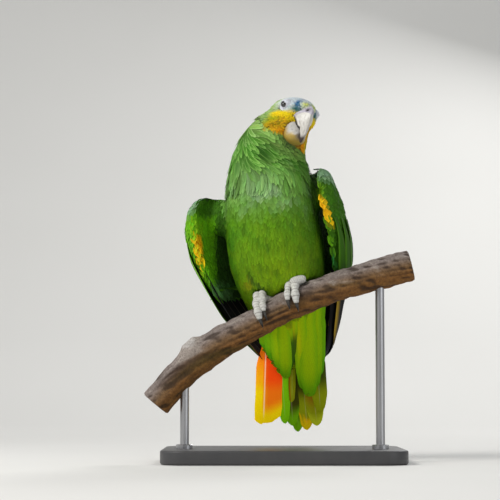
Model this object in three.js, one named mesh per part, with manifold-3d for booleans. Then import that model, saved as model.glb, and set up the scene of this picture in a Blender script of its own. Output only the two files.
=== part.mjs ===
// An orange-winged amazon parrot, life size, perched upright on a cut length of
// branch that two rods hold above a flat display base. Millimetres, +Z up.
// The bird faces -Y, so its left side is towards +X. The origin is the middle of
// the underside of the base. Each body region is a closed solid that reaches out
// to the tips of the feathers.
import * as THREE from "three";
import { mergeVertices } from "three/addons/utils/BufferGeometryUtils.js";
import Module from "manifold-3d";

const wasm = await Module();
wasm.setup();

// ---------------------------------------------------------------- driving sizes
const GAP = 0.3; // clearance left between neighbouring solids

const BASE = { length: 216, depth: 150, height: 12, corner: 22, edge: 1.5 };
const ROD = { radius: 4, sides: 16, atX: [-88, 86] };
const BIRD_SHIFT_Y = -12; // brings the bird over the middle of the base

// The branch: points along its middle, with the radius there.
const PERCH = {
  sides: 12,
  steps: 18,
  keys: [
    // x, y, z, radius
    [-114, -2, 52, 14.2],
    [-95, -2, 74.5, 13.8],
    [-66, -3, 99.5, 14.6],
    [-43, -4, 113.5, 14],
    [-20, -5, 126, 13.2],
    [4, -6, 138.8, 13.2],
    [28, -8, 149, 13.5],
    [51, -10, 157.3, 13.4],
    [73, -11, 164, 13.6],
    [96, -12, 170.5, 14.4],
    [114, -13, 175, 13.8],
  ],
};

// Trunk and neck, as level sections from the vent to the nape.
const TRUNK = {
  sides: 18,
  steps: 13,
  keys: [
    // z, middle x, middle y, half width, depth in front, depth behind
    [112, 9, 41, 29.5, 12, 12],
    [121, 8, 38, 31, 17, 17],
    [131, 6, 34, 34.5, 22, 22],
    [146, 1.5, 26, 39.5, 34, 29],
    [163, -1.5, 20, 43, 42, 33],
    [181, -5, 16, 45.5, 45, 35],
    [200, -7, 12, 45, 45, 35.5],
    [218, -9.5, 8, 43, 43, 35],
    [236, -11, 4.5, 41, 39.5, 34],
    [254, -12, 1, 38, 35, 32],
    [268, -13.5, -2, 34.5, 32, 30],
    [281, -12, -5, 32.5, 29, 28],
    [292, -6.5, -8, 31, 26, 25],
    [301, -3.5, -8, 28.5, 20, 24],
    [308, -2.5, -6, 23, 13, 20],
    [314, -4, -1, 13, 5, 12],
  ],
};
const NECK_FROM_Z = 262; // the cut between trunk and neck

// The head has axes of its own: f forward, l to the bird's left, u up, from the
// point midway between the eyes. Its sections lean forward with the forehead.
const HEAD = {
  at: new THREE.Vector3(15, -18, 313.4),
  turn: 23, // degrees, to the bird's left
  nod: -14.5, // degrees, bill down
  tilt: -16, // degrees, left side down
  sides: 18,
  steps: 11,
  keys: [
    // top f, u, bottom f, u, half width
    [21, 6.6, 9.5, -12.5, 8],
    [19.5, 8, 6.5, -16.5, 11],
    [15, 10, 2, -22, 14.3],
    [7.5, 11.6, -4, -26, 17.4],
    [-2, 12.2, -10, -27.4, 19.4],
    [-12, 11.4, -16, -27.4, 20],
    [-21, 8.2, -22, -25.8, 18.8],
    [-28, 2.6, -26.6, -21.8, 15],
    [-32, -3.4, -30, -16.5, 9],
    [-33.5, -8, -32, -12, 3],
  ],
};
const EYE = { f: -0.5, l: 14, u: 1.2, radius: 5, sides: 10 };

// Bill sections: outer edge f, u, inner edge f, u, half width.
const BILL = {
  sides: 12,
  stepsPerKey: 1.5,
  upper: [
    [17.5, 6, 9, -9.6, 8.2],
    [21.2, 5.2, 11.6, -11.4, 8.2],
    [25.2, 2, 14.2, -13, 7],
    [27.4, -3.4, 16.8, -15.6, 5.4],
    [28.2, -10.2, 19.4, -18.4, 4.2],
    [27.8, -17, 21.4, -21.2, 3.2],
    [26.5, -23, 22.7, -24.4, 2],
    [25.1, -27.8, 24, -27.4, 0.8],
  ],
  lower: [
    [5, -10.8, 2, -26, 9.4],
    [9.6, -12, 6.6, -29, 10.2],
    [14.2, -13.6, 12.2, -29.6, 8.8],
    [18.4, -15.4, 17.4, -27.6, 6.4],
    [21, -17.5, 20.8, -24.8, 4.2],
    [22.2, -19.2, 22.4, -21.8, 2],
  ],
  ridge: { upper: 0.58, lower: 0 }, // how far the sides draw in towards the outer edge
  cereCut: { front: [25, 4.2], foot: [14, -8.6] }, // where the cere ends on the bill
  cereProud: 0.8,
};

// Each wing is a curved slab: at each level a bowed line runs from the leading
// edge past a mid point to the trailing edge, thickened like an aerofoil.
const WING = {
  sides: 14,
  steps: 12,
  edge: 0.7,
  right: [
    // z, leading x, y, mid x, y, trailing x, y, thickness
    [238.5, -68, 1, -69, 12, -48, 27, 4],
    [234.5, -75, -5, -79, 10, -43, 38, 10],
    [222, -80, -9, -91, 14, -34, 47, 13],
    [202, -79, -9, -95, 20, -28, 52, 13],
    [180, -73, -5, -90, 28, -20, 56, 11],
    [160, -64, 0, -77, 32, -14, 59, 8.5],
    [141, -54, 8, -62, 38, -10, 62, 6],
    [124, -43, 18, -47, 46, -8, 66, 4],
    [110, -33, 30, -34, 54, -6, 69, 2.8],
    [98, -23, 44, -22, 62, -3, 71, 2.2],
    [86, -13, 57, -10, 68, 0, 72, 1.8],
    [77, -6, 67, -4, 71, 1, 73, 1.4],
  ],
  left: [
    [265, 33, -6, 40, 4, 28, 20, 4],
    [260, 31, -12, 48, 0, 26, 32, 10],
    [246, 29.5, -18, 62, -4, 24, 43, 13],
    [226, 32, -20, 78, 0, 20, 50, 13],
    [204, 37.5, -17, 85, 9, 12, 55, 11.5],
    [184, 41.5, -8, 86, 18, 8, 58, 10],
    [163, 43.5, 6, 80, 28, 7, 61, 8],
    [142, 43, 18, 72, 38, 7, 64, 5.5],
    [122, 42, 32, 66, 49, 9, 67, 3.6],
    [104, 40, 46, 57, 60, 12, 70, 2.6],
    [89, 35, 60, 40, 68, 15, 73, 2],
    [76, 24, 69, 22, 73, 17, 75, 1.4],
  ],
  // middle and radii of the flesh that joins each wing to the trunk
  shoulder: { right: [[-52, 18, 220], [20, 16, 18]], left: [[28, 14, 243], [17, 15, 18]], sides: 10 },
  flightCut: { right: 150, left: 156, slope: 0.2 }, // the plane z = level + slope * y
};

// Tail: broad blades that fan out from under the coverts.
const TAIL = {
  root: new THREE.Vector3(0, 42, 111),
  sides: 6,
  thickness: 1.5,
  stackStep: 0.9,
  stations: [0, 0.4, 0.8, 0.94, 1],
  roundFrom: 0.8, // how far down a feather its tip begins to round off
  tipWidth: 0.42, // of the feather's width
  // tip x, tip z, width, layer from the front, root x
  feathers: [
    [-13.8, 33, 24.5, 0, -12],
    [3.4, 33, 12, 1.2, -2],
    [9.5, 31, 16, 2.4, 5],
    [15, 25.4, 14, 3.6, 11],
    [23.5, 27, 18, 2.8, 17],
    [32.5, 31, 20, 1.6, 24],
    [37, 45, 15, 0.4, 32],
  ],
  backward: 0.33, // how far a point goes back for each millimetre it goes down
};
// The coverts lie against the tail, two lobes under it and one over it.
const COVERTS = {
  sides: 12,
  steps: 5,
  stackFront: -2.4, // where the lobes' flat backs lie, from the plane of the tail
  stackBack: 4.8,
  flat: 0.4,
  under: [
    // z, middle x, half width, depth
    [
      [111.7, 4, 25.5, 10.6],
      [103, 3.5, 24, 10],
      [94, 3, 19, 8.5],
      [84, 2, 10, 5.5],
      [75, 2.4, 3.5, 2],
    ],
    [
      [111.7, 23, 16.5, 10],
      [104, 23, 15.5, 10],
      [88, 24.4, 12.5, 8],
      [72, 24.6, 9, 5],
      [62, 24.6, 5.8, 3],
      [57.5, 24.5, 2.6, 1.4],
    ],
  ],
  over: [
    [111.7, 9, 25, 6],
    [104, 10, 23, 6],
    [94, 11, 19, 5],
    [84, 12, 13, 3.4],
    [76, 12, 5, 1.6],
  ],
};

const LEG = {
  // place along the branch, side that the long toes are on, how far the toes run
  // down the slope of the branch as they go round it, how far round they reach, and
  // how much the thigh leans outwards
  right: { x: -12, splay: -1, slant: -6, curl: 0.9, thighOut: 1 },
  left: { x: 15.8, splay: 1, slant: -8, curl: 0.98, thighOut: 0.2 },
  toeSides: 6,
  toeSteps: 6,
  toeClear: 0.45,
  // start and end angle round the branch, place along it, radius
  toes: [
    { from: 4, to: 98, along: 3.1, radius: 3.6 },
    { from: 4, to: 80, along: -3, radius: 3.1 },
    { from: -10, to: -104, along: 4, radius: 3.5 },
    { from: -10, to: -80, along: -3.6, radius: 3.1 },
  ],
  clawSides: 5,
  clawSteps: 4,
  clawAngle: 30,
  clawRadius: 1.9,
  clawGap: 1.6, // degrees between toe and claw
  ankle: 5.6,
  ankleRadius: 5,
  tarsusRadius: 4,
  tarsusBack: 5,
  tarsusRise: 8,
};
const THIGH = {
  sides: 10,
  steps: 5,
  // rise above the branch's middle, outward x, y, half width, half depth
  keys: [
    [17.5, 3, 6, 5.5, 5],
    [20, 3.5, 8, 10.5, 9],
    [27, 4, 10, 15, 15],
    [38, 5, 10, 17, 19.5],
    [50, 4, 14, 14, 18],
    [58, 3, 17, 7, 10],
  ],
};

// ---------------------------------------------------------------- making solids
const DEG = Math.PI / 180;
const X_AXIS = new THREE.Vector3(1, 0, 0);
const Z_AXIS = new THREE.Vector3(0, 0, 1);

// One row of numbers at t from 0 to 1, on a smooth curve through the key rows.
function between(keys, t) {
  const last = keys.length - 1;
  const span = Math.min(Math.floor(t * last), last - 1);
  const u = t * last - span;
  const row = (i) => keys[Math.max(0, Math.min(last, i))];
  return row(span).map((b, k) => {
    const a = row(span - 1)[k];
    const c = row(span + 1)[k];
    const d = row(span + 2)[k];
    return b + 0.5 * u * (c - a + u * (2 * a - 5 * b + 4 * c - d + u * (3 * (b - c) + d - a)));
  });
}

// A closed skin through rings of points, with a flat fan at each end.
function loft(rings) {
  const sides = rings[0].length;
  const points = rings.flat();
  const faces = [];
  for (let r = 0; r + 1 < rings.length; r++) {
    for (let s = 0; s < sides; s++) {
      const a = r * sides + s;
      const b = r * sides + ((s + 1) % sides);
      faces.push(a, b, b + sides, a, b + sides, a + sides);
    }
  }
  for (const [ring, turned] of [[0, true], [rings.length - 1, false]]) {
    const middle = new THREE.Vector3();
    rings[ring].forEach((p) => middle.addScaledVector(p, 1 / sides));
    points.push(middle);
    for (let s = 0; s < sides; s++) {
      const a = ring * sides + s;
      const b = ring * sides + ((s + 1) % sides);
      faces.push(...(turned ? [b, a, points.length - 1] : [a, b, points.length - 1]));
    }
  }
  let volume = 0;
  for (let i = 0; i < faces.length; i += 3) {
    const [a, b, c] = [points[faces[i]], points[faces[i + 1]], points[faces[i + 2]]];
    volume += a.dot(new THREE.Vector3().crossVectors(b, c));
  }
  if (volume < 0) faces.reverse();
  return new THREE.BufferGeometry().setFromPoints(points).setIndex(faces);
}

function solid(geometry) {
  const plain = geometry.clone();
  plain.deleteAttribute("normal");
  plain.deleteAttribute("uv");
  const merged = mergeVertices(plain, 1e-4);
  return new wasm.Manifold(
    new wasm.Mesh({
      numProp: 3,
      vertProperties: new Float32Array(merged.attributes.position.array),
      triVerts: new Uint32Array(merged.index.array),
    }),
  );
}

function geometryOf(body) {
  const { numProp, vertProperties, triVerts } = body.getMesh();
  const places = new Float32Array((vertProperties.length / numProp) * 3);
  for (let i = 0; i * numProp < vertProperties.length; i++)
    places.set(vertProperties.subarray(i * numProp, i * numProp + 3), i * 3);
  return new THREE.BufferGeometry()
    .setAttribute("position", new THREE.BufferAttribute(places, 3))
    .setIndex(new THREE.BufferAttribute(new Uint32Array(triVerts), 1));
}

// A boolean can leave crumbs: the largest piece is the part.
function largest(body) {
  return body.decompose().sort((a, b) => b.volume() - a.volume())[0];
}

// A round tube through points, each with its own radius.
function tube(points, radii, sides) {
  const tangents = points.map((_, i) =>
    new THREE.Vector3()
      .subVectors(points[Math.min(i + 1, points.length - 1)], points[Math.max(i - 1, 0)])
      .normalize(),
  );
  const across = Math.abs(tangents[0].z) > 0.9 ? X_AXIS : Z_AXIS;
  const side = new THREE.Vector3().crossVectors(tangents[0], across);
  return loft(
    points.map((p, i) => {
      side.addScaledVector(tangents[i], -side.dot(tangents[i])).normalize();
      const up = new THREE.Vector3().crossVectors(tangents[i], side);
      return ringOf(sides, (c, s) =>
        p.clone().addScaledVector(side, radii[i] * c).addScaledVector(up, radii[i] * s),
      );
    }),
  );
}

function ringOf(sides, at) {
  return Array.from({ length: sides }, (_, k) => {
    const angle = (2 * Math.PI * k) / sides;
    return at(Math.cos(angle), Math.sin(angle), angle);
  });
}

function steps(count, at) {
  return Array.from({ length: count + 1 }, (_, i) => at(i / count, i));
}

// ---------------------------------------------------------------- branch and stand
function perchAt(t) {
  const [x, y, z, radius] = between(PERCH.keys, t);
  return { point: new THREE.Vector3(x, y, z), radius };
}

function perchAtX(x) {
  let [low, high] = [0, 1];
  for (let i = 0; i < 30; i++) {
    const middle = (low + high) / 2;
    if (perchAt(middle).point.x < x) low = middle;
    else high = middle;
  }
  const ahead = perchAt(low + 0.01).point;
  const behind = perchAt(low - 0.01).point;
  return { ...perchAt(low), along: ahead.sub(behind).normalize() };
}

// A branch stub and a knot swell the wood on the upper and front sides.
function perchSwell(point, angle) {
  const stub = 3.5 * Math.exp(-(((point.x + 74) / 9) ** 2)) * Math.max(0, Math.sin(angle)) ** 2;
  const knot = 1.8 * Math.exp(-(((point.x - 104) / 6) ** 2)) * Math.max(0, -Math.cos(angle + 0.5)) ** 2;
  return stub + knot;
}

function perch(grow) {
  const points = steps(PERCH.steps, (t) => perchAt(t));
  const rings = points.map(({ point, radius }, i) => {
    const next = points[Math.min(i + 1, PERCH.steps)].point;
    const last = points[Math.max(i - 1, 0)].point;
    const along = new THREE.Vector3().subVectors(next, last).normalize();
    const back = new THREE.Vector3().crossVectors(Z_AXIS, along).normalize();
    const up = new THREE.Vector3().crossVectors(along, back);
    return ringOf(PERCH.sides, (c, s, angle) => {
      const reach = radius + perchSwell(point, angle) + grow;
      return point.clone().addScaledVector(back, reach * c).addScaledVector(up, reach * s);
    });
  });
  return solid(loft(rings));
}

function standBase() {
  const half = { x: BASE.length / 2 - BASE.edge, y: BASE.depth / 2 - BASE.edge };
  const corner = BASE.corner - BASE.edge;
  const outline = new THREE.Shape();
  outline.moveTo(half.x, half.y - corner);
  outline.absarc(half.x - corner, half.y - corner, corner, 0, Math.PI / 2);
  outline.absarc(corner - half.x, half.y - corner, corner, Math.PI / 2, Math.PI);
  outline.absarc(corner - half.x, corner - half.y, corner, Math.PI, 1.5 * Math.PI);
  outline.absarc(half.x - corner, corner - half.y, corner, 1.5 * Math.PI, 2 * Math.PI);
  const plate = new THREE.ExtrudeGeometry(outline, {
    depth: BASE.height - 2 * BASE.edge,
    curveSegments: 3,
    bevelSize: BASE.edge,
    bevelThickness: BASE.edge,
    bevelSegments: 1,
  });
  return plate.translate(0, -BIRD_SHIFT_Y, BASE.edge);
}

function standRod(x) {
  const { point, radius } = perchAtX(x);
  const foot = BASE.height + GAP;
  const top = point.z - radius * 0.5;
  const rod = new THREE.CylinderGeometry(ROD.radius, ROD.radius, top - foot, ROD.sides);
  rod.rotateX(Math.PI / 2).translate(x, point.y, (top + foot) / 2);
  return largest(solid(rod).subtract(perch(GAP)));
}

// ---------------------------------------------------------------- trunk and neck
function trunkAndNeck(grow) {
  const rings = steps(TRUNK.steps, (t) => {
    const [z, x, y, width, front, back] = between(TRUNK.keys, t);
    const ends = t === 0 ? -grow : t === 1 ? grow : 0;
    return ringOf(
      TRUNK.sides,
      (c, s) => new THREE.Vector3(x + (width + grow) * c, y + ((s < 0 ? front : back) + grow) * s, z + ends),
    );
  });
  return solid(loft(rings));
}

// ---------------------------------------------------------------- head
const headFrame = (() => {
  const turned = new THREE.Matrix4().makeRotationZ(HEAD.turn * DEG);
  const nodded = new THREE.Matrix4().makeRotationX(-HEAD.nod * DEG);
  const tilted = new THREE.Matrix4().makeRotationY(-HEAD.tilt * DEG);
  return turned.multiply(nodded).multiply(tilted).setPosition(HEAD.at);
})();

// A point given forward, left and up from between the eyes. Forward is -Y.
function inHead(f, l, u) {
  return new THREE.Vector3(l, -f, u).applyMatrix4(headFrame);
}

// A loft whose sections each span from an outer to an inner edge of the profile.
function slanted(keys, sides, count, ridge, grow) {
  const rings = steps(count, (t) => {
    const [f1, u1, f2, u2, width] = between(keys, t);
    const across = new THREE.Vector2(f1 - f2, u1 - u2);
    const reach = across.length() / 2 + grow;
    across.normalize();
    const ends = t === 0 ? -grow : t === 1 ? grow : 0;
    const onward = new THREE.Vector2(across.y, -across.x).multiplyScalar(keys === HEAD.keys ? -ends : ends);
    const middle = new THREE.Vector2((f1 + f2) / 2, (u1 + u2) / 2).add(onward);
    return ringOf(sides, (c, s) =>
      inHead(
        middle.x + across.x * reach * c,
        (width + grow) * s * (1 - ridge * c),
        middle.y + across.y * reach * c,
      ),
    );
  });
  return solid(loft(rings));
}

function head(grow) {
  return slanted(HEAD.keys, HEAD.sides, HEAD.steps, 0, grow);
}

function eye(side, grow) {
  const ball = new THREE.SphereGeometry(EYE.radius + grow, EYE.sides, EYE.sides - 4);
  const at = inHead(EYE.f, side * EYE.l, EYE.u);
  return solid(ball.translate(at.x, at.y, at.z));
}

function mandible(name, grow) {
  const keys = BILL[name];
  return slanted(keys, BILL.sides, Math.round(BILL.stepsPerKey * (keys.length - 1)), BILL.ridge[name], grow);
}

// Splits a body by a plane through the head that contains the left-right axis.
function cereSplit(body, keepFront, shift) {
  const { front, foot } = BILL.cereCut;
  const run = new THREE.Vector2(front[0] - foot[0], front[1] - foot[1]).normalize();
  const normal = inHead(run.y, 0, -run.x).sub(HEAD.at).multiplyScalar(keepFront ? 1 : -1);
  const through = inHead(front[0], 0, front[1]);
  return body.trimByPlane(normal.toArray(), normal.dot(through) + shift);
}

// ---------------------------------------------------------------- wings
function aerofoil(u) {
  return 2.969 * Math.sqrt(u) - 1.26 * u - 3.516 * u * u + 2.843 * u ** 3 - 1.036 * u ** 4;
}

function wingSlab(keys, side, grow) {
  const rings = steps(WING.steps, (t) => {
    const [z, leadX, leadY, midX, midY, trailX, trailY, thick] = between(keys, t);
    const lead = new THREE.Vector2(leadX, leadY);
    const middle = new THREE.Vector2(midX, midY);
    const trail = new THREE.Vector2(trailX, trailY);
    return ringOf(WING.sides, (c, s) => {
      const u = (1 - c) / 2;
      const p = new THREE.QuadraticBezierCurve(lead, middle, trail).getPoint(u);
      const d = new THREE.QuadraticBezierCurve(lead, middle, trail).getTangent(u);
      const half = (thick * aerofoil(u)) / 2 + WING.edge * Math.abs(s) + grow;
      const reach = half * Math.sign(s) * side * (Math.abs(s) < 1e-6 ? 0 : 1);
      return new THREE.Vector3(p.x + d.y * reach, p.y - d.x * reach, z);
    });
  });
  return solid(loft(rings));
}

function wing(name, side) {
  const [middle, radii] = WING.shoulder[name];
  const arm = new THREE.SphereGeometry(1, WING.shoulder.sides, WING.shoulder.sides - 3);
  arm.scale(...radii).translate(...middle);
  const whole = wingSlab(WING[name], side, 0).add(solid(arm));
  return whole.subtract(trunkAndNeck(GAP)).subtract(perch(GAP));
}

function flightCut(name, body, keepAbove) {
  const normal = new THREE.Vector3(0, -WING.flightCut.slope, 1).normalize();
  const level = WING.flightCut[name] * normal.z;
  const sign = keepAbove ? 1 : -1;
  return largest(body.trimByPlane(normal.multiplyScalar(sign).toArray(), sign * level + GAP / 2));
}

// ---------------------------------------------------------------- tail
function tailPlaneY(z) {
  return TAIL.root.y + TAIL.backward * (TAIL.root.z - z);
}

function tailFeather([tipX, tipZ, width, layer, rootX], grow) {
  const back = new THREE.Vector3(0, 1, -TAIL.backward).normalize();
  const from = new THREE.Vector3(rootX, TAIL.root.y, TAIL.root.z);
  const to = new THREE.Vector3(tipX, tailPlaneY(tipZ), tipZ).addScaledVector(back, layer * TAIL.stackStep);
  const along = new THREE.Vector3().subVectors(to, from).normalize();
  const across = new THREE.Vector3().crossVectors(along, back).normalize();
  const face = new THREE.Vector3().crossVectors(across, along);
  const rings = TAIL.stations.map((t) => {
    const past = Math.max(0, (t - TAIL.roundFrom) / (1 - TAIL.roundFrom));
    const end = TAIL.tipWidth + (1 - TAIL.tipWidth) * Math.sqrt(1 - past * past);
    const spread = 0.6 + 0.4 * Math.sin((Math.min(t / TAIL.roundFrom, 1) * Math.PI) / 2);
    const half = (width / 2) * spread * end;
    const middle = from.clone().lerp(to, t);
    return ringOf(TAIL.sides, (c, s) =>
      middle
        .clone()
        .addScaledVector(across, (half + grow) * c)
        .addScaledVector(face, (TAIL.thickness / 2 + grow) * s - 0.8 * c * c),
    );
  });
  return solid(loft(rings));
}

function tail(grow) {
  return TAIL.feathers.map((f) => tailFeather(f, grow)).reduce((sum, f) => sum.add(f));
}

function covertLobe(keys, offset, side) {
  const rings = steps(COVERTS.steps, (t) => {
    const [z, x, width, depth] = between(keys, t);
    return ringOf(COVERTS.sides, (c, s) => {
      const out = s * side > 0 ? depth : COVERTS.flat;
      return new THREE.Vector3(x + width * c, tailPlaneY(z) + offset + out * s, z);
    });
  });
  return solid(loft(rings));
}

// ---------------------------------------------------------------- legs and feet
// A point round the branch at a foot: angle 0 is on top and 90 is at the front.
function roundPerch(x, angle, along, lift) {
  const here = perchAtX(x);
  const front = new THREE.Vector3().crossVectors(here.along, Z_AXIS).normalize();
  const up = new THREE.Vector3().crossVectors(front, here.along).normalize();
  const reach = here.radius + lift;
  return here.point
    .clone()
    .addScaledVector(here.along, along)
    .addScaledVector(up, reach * Math.cos(angle * DEG))
    .addScaledVector(front, reach * Math.sin(angle * DEG));
}

// Knuckles: a toe swells at each joint pad.
function toeRadius(radius, t) {
  return radius * (1.02 - 0.2 * t + 0.09 * Math.cos(t * 5.4 * Math.PI));
}

function toe(leg, { from, to, along, radius }, grow) {
  const lift = radius + LEG.toeClear;
  const points = steps(LEG.toeSteps, (t) =>
    roundPerch(leg.x, from + (to * leg.curl - from) * t, leg.splay * along + leg.slant * t, lift),
  );
  const radii = points.map((_, i) => toeRadius(radius, i / LEG.toeSteps) + grow);
  return solid(tube(points, radii, LEG.toeSides));
}

function claw(leg, { from, to, along }, grow) {
  const turn = Math.sign(to - from);
  const start = to * leg.curl + turn * LEG.clawGap;
  const points = steps(LEG.clawSteps, (t) => {
    const lift = 3.3 + 0.8 * Math.sin(2.4 * t) - 2.5 * t;
    const aside = leg.splay * along + leg.slant * (1 + 0.2 * t);
    return roundPerch(leg.x, start + turn * LEG.clawAngle * t, aside, lift);
  });
  const radii = points.map((_, i) => LEG.clawRadius * (1 - (0.86 * i) / LEG.clawSteps) + grow);
  return solid(tube(points, radii, LEG.clawSides));
}

function foot(leg, grow) {
  const top = roundPerch(leg.x, 0, 0, LEG.ankle);
  const ball = new THREE.SphereGeometry(LEG.ankleRadius + grow, 8, 6);
  ball.translate(top.x, top.y, top.z);
  const rise = new THREE.Vector3(0, LEG.tarsusBack, LEG.tarsusRise);
  const shin = steps(1, (t) => top.clone().addScaledVector(rise, t));
  const tarsus = solid(tube(shin, shin.map(() => LEG.tarsusRadius + grow), 8));
  return LEG.toes.map((t) => toe(leg, t, grow)).reduce((sum, t) => sum.add(t), tarsus.add(solid(ball)));
}

function thigh(leg, grow) {
  const { point } = perchAtX(leg.x);
  const rings = steps(THIGH.steps, (t) => {
    const [rise, out, y, width, depth] = between(THIGH.keys, t);
    return ringOf(
      THIGH.sides,
      (c, s) =>
        new THREE.Vector3(
          point.x + leg.splay * leg.thighOut * out + (width + grow) * c,
          point.y + y + (depth + grow) * s,
          point.z + rise + (t === 0 ? -grow : t === 1 ? grow : 0),
        ),
    );
  });
  return solid(loft(rings));
}

// ---------------------------------------------------------------- assembly
const COLOURS = {
  green: [0x4f9a1c, 0.75],
  crown: [0x6fae5a, 0.75],
  remex: [0x1d4a1a, 0.6],
  rectrix: [0xd98a10, 0.6],
  horn: [0xcfcabc, 0.4],
  skin: [0x9a9690, 0.6],
  eye: [0x1a0f08, 0.1],
  foot: [0xb9b9ae, 0.7],
  claw: [0x3a3733, 0.4],
  bark: [0x7b644a, 0.9],
  base: [0xd8d4cc, 0.5],
  rod: [0xa8a9a6, 0.35],
};

const materials = Object.fromEntries(
  Object.entries(COLOURS).map(([name, [color, roughness]]) => [
    name,
    new THREE.MeshStandardMaterial({ name, color, roughness, metalness: name === "rod" ? 1 : 0 }),
  ]),
);

const model = new THREE.Group();
model.position.y = BIRD_SHIFT_Y;

function place(name, shape, material) {
  const geometry = shape.isBufferGeometry ? shape : geometryOf(shape);
  const mesh = new THREE.Mesh(geometry, materials[material]);
  mesh.name = name;
  model.add(mesh);
}

const branch = perch(GAP);
const legs = [["right", LEG.right], ["left", LEG.left]];
const join = (bodies) => bodies.reduce((sum, body) => sum.add(body));
const allThighs = join(legs.map(([, leg]) => thigh(leg, GAP)));
const allFeet = join(legs.map(([, leg]) => foot(leg, GAP)));
const allClaws = join(legs.flatMap(([, leg]) => LEG.toes.map((t) => claw(leg, t, GAP))));
const billRoom = mandible("upper", BILL.cereProud + GAP).add(mandible("lower", GAP));

place("stand_base", standBase(), "base");
place("stand_rod_right", standRod(ROD.atX[0]), "rod");
place("stand_rod_left", standRod(ROD.atX[1]), "rod");
place("perch", perch(0), "bark");

const headRoom = billRoom.add(eye(-1, GAP)).add(eye(1, GAP));
place("head", largest(head(0).subtract(headRoom)), "crown");
place("eye_right", eye(-1, 0), "eye");
place("eye_left", eye(1, 0), "eye");
place("cere", largest(cereSplit(mandible("upper", BILL.cereProud), false, 0)), "skin");
place("bill_upper", largest(cereSplit(mandible("upper", 0), true, GAP)), "horn");
const upperRoom = mandible("upper", BILL.cereProud + GAP);
place("bill_lower", largest(mandible("lower", 0).subtract(upperRoom)), "horn");

const stem = trunkAndNeck(0).subtract(head(GAP)).subtract(billRoom).subtract(branch).subtract(allThighs);
place("neck", largest(stem.trimByPlane([0, 0, 1], NECK_FROM_Z + GAP / 2)), "green");
const lowerStem = stem.trimByPlane([0, 0, -1], -NECK_FROM_Z + GAP / 2).subtract(allFeet).subtract(allClaws);
place("trunk", largest(lowerStem), "green");

for (const [name, leg] of legs) {
  place("thigh_" + name, largest(thigh(leg, 0).subtract(branch).subtract(allFeet)), "green");
  place("foot_" + name, foot(leg, 0), "foot");
  LEG.toes.forEach((t, i) => {
    place(`claw_${name}_${i + 1}`, largest(claw(leg, t, 0).subtract(allFeet)), "claw");
  });
}

for (const [name, side] of [["right", -1], ["left", 1]]) {
  const whole = wing(name, side);
  place("wing_" + name, flightCut(name, whole, true), "green");
  place(`wing_${name}_flight`, flightCut(name, whole, false), "remex");
}
place("tail", tail(0), "rectrix");
const underLobes = COVERTS.under.map((keys) => covertLobe(keys, COVERTS.stackFront, -1));
place("tail_coverts_under", join(underLobes), "green");
place("tail_coverts_over", covertLobe(COVERTS.over, COVERTS.stackBack, 1), "green");

export default model;
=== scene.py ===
# %% [markdown]
# # An orange-winged amazon parrot on a display perch
#
# The parrot grips a sloping branch, hunched and upright, with its head turned to its
# left and its wings held a little way off the body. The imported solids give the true
# outline, out to the feather tips. Here one smooth skin takes the place of the flesh,
# and thousands of small solid feathers cover it, laid the way a bird's coat lies.
# All the working is in millimetres, and turns into metres only when a mesh is made.

import math
import time

import bmesh
import bpy
import numpy as np
from mathutils import Matrix, Vector
from mathutils.bvhtree import BVHTree
from mathutils.kdtree import KDTree


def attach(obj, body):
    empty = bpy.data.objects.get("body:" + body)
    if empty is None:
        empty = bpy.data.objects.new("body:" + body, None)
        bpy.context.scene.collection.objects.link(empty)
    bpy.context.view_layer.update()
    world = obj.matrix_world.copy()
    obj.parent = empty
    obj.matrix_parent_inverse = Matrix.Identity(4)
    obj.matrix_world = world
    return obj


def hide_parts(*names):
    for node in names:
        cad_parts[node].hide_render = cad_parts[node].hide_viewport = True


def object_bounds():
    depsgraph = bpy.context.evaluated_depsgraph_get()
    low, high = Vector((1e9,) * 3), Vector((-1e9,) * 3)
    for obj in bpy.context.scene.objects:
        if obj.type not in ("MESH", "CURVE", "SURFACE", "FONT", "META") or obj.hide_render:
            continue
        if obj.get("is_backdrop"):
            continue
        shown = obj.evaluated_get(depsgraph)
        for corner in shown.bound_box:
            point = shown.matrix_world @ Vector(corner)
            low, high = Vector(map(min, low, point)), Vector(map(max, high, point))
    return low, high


started = time.time()
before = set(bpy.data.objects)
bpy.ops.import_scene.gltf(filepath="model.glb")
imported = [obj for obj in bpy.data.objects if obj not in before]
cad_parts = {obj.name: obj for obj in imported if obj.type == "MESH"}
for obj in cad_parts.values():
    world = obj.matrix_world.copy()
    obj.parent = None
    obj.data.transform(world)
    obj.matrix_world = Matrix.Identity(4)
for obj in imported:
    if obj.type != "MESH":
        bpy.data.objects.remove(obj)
scene = bpy.context.scene
scene.view_settings.view_transform = "Standard"
MM = 0.001
low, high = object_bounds()
print("solids", len(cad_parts), "box", [round(v, 3) for v in (*low, *high)])

# %% [markdown]
# ## Camera, floor and light
#
# The bird is seen from straight in front and a little below its breast, from far enough
# away for its shape to stay flat and calm. The lens is long, so the stand comes into the
# picture too. One broad soft lamp on the upper left models the breast, and a weaker one
# on the right keeps its shade open. A lamp behind draws the outline, a small one in
# front gives the eye its highlight, and the pale room fills in the rest.

# %% Camera
AIM = Vector((-29.7, -12.0, 189.8)) * MM
DISTANCE = 1.6
ELEVATION = math.radians(-4.5)

lens = bpy.data.cameras.new("camera")
lens.lens = 128
lens.sensor_width = 36
camera = bpy.data.objects.new("camera", lens)
scene.collection.objects.link(camera)
look_back = Vector((0, -math.cos(ELEVATION), math.sin(ELEVATION)))
camera.location = AIM + look_back * DISTANCE
camera.rotation_euler = look_back.to_track_quat("Z", "Y").to_euler()
scene.camera = camera
print("camera height", round(camera.location.z, 3))


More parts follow.
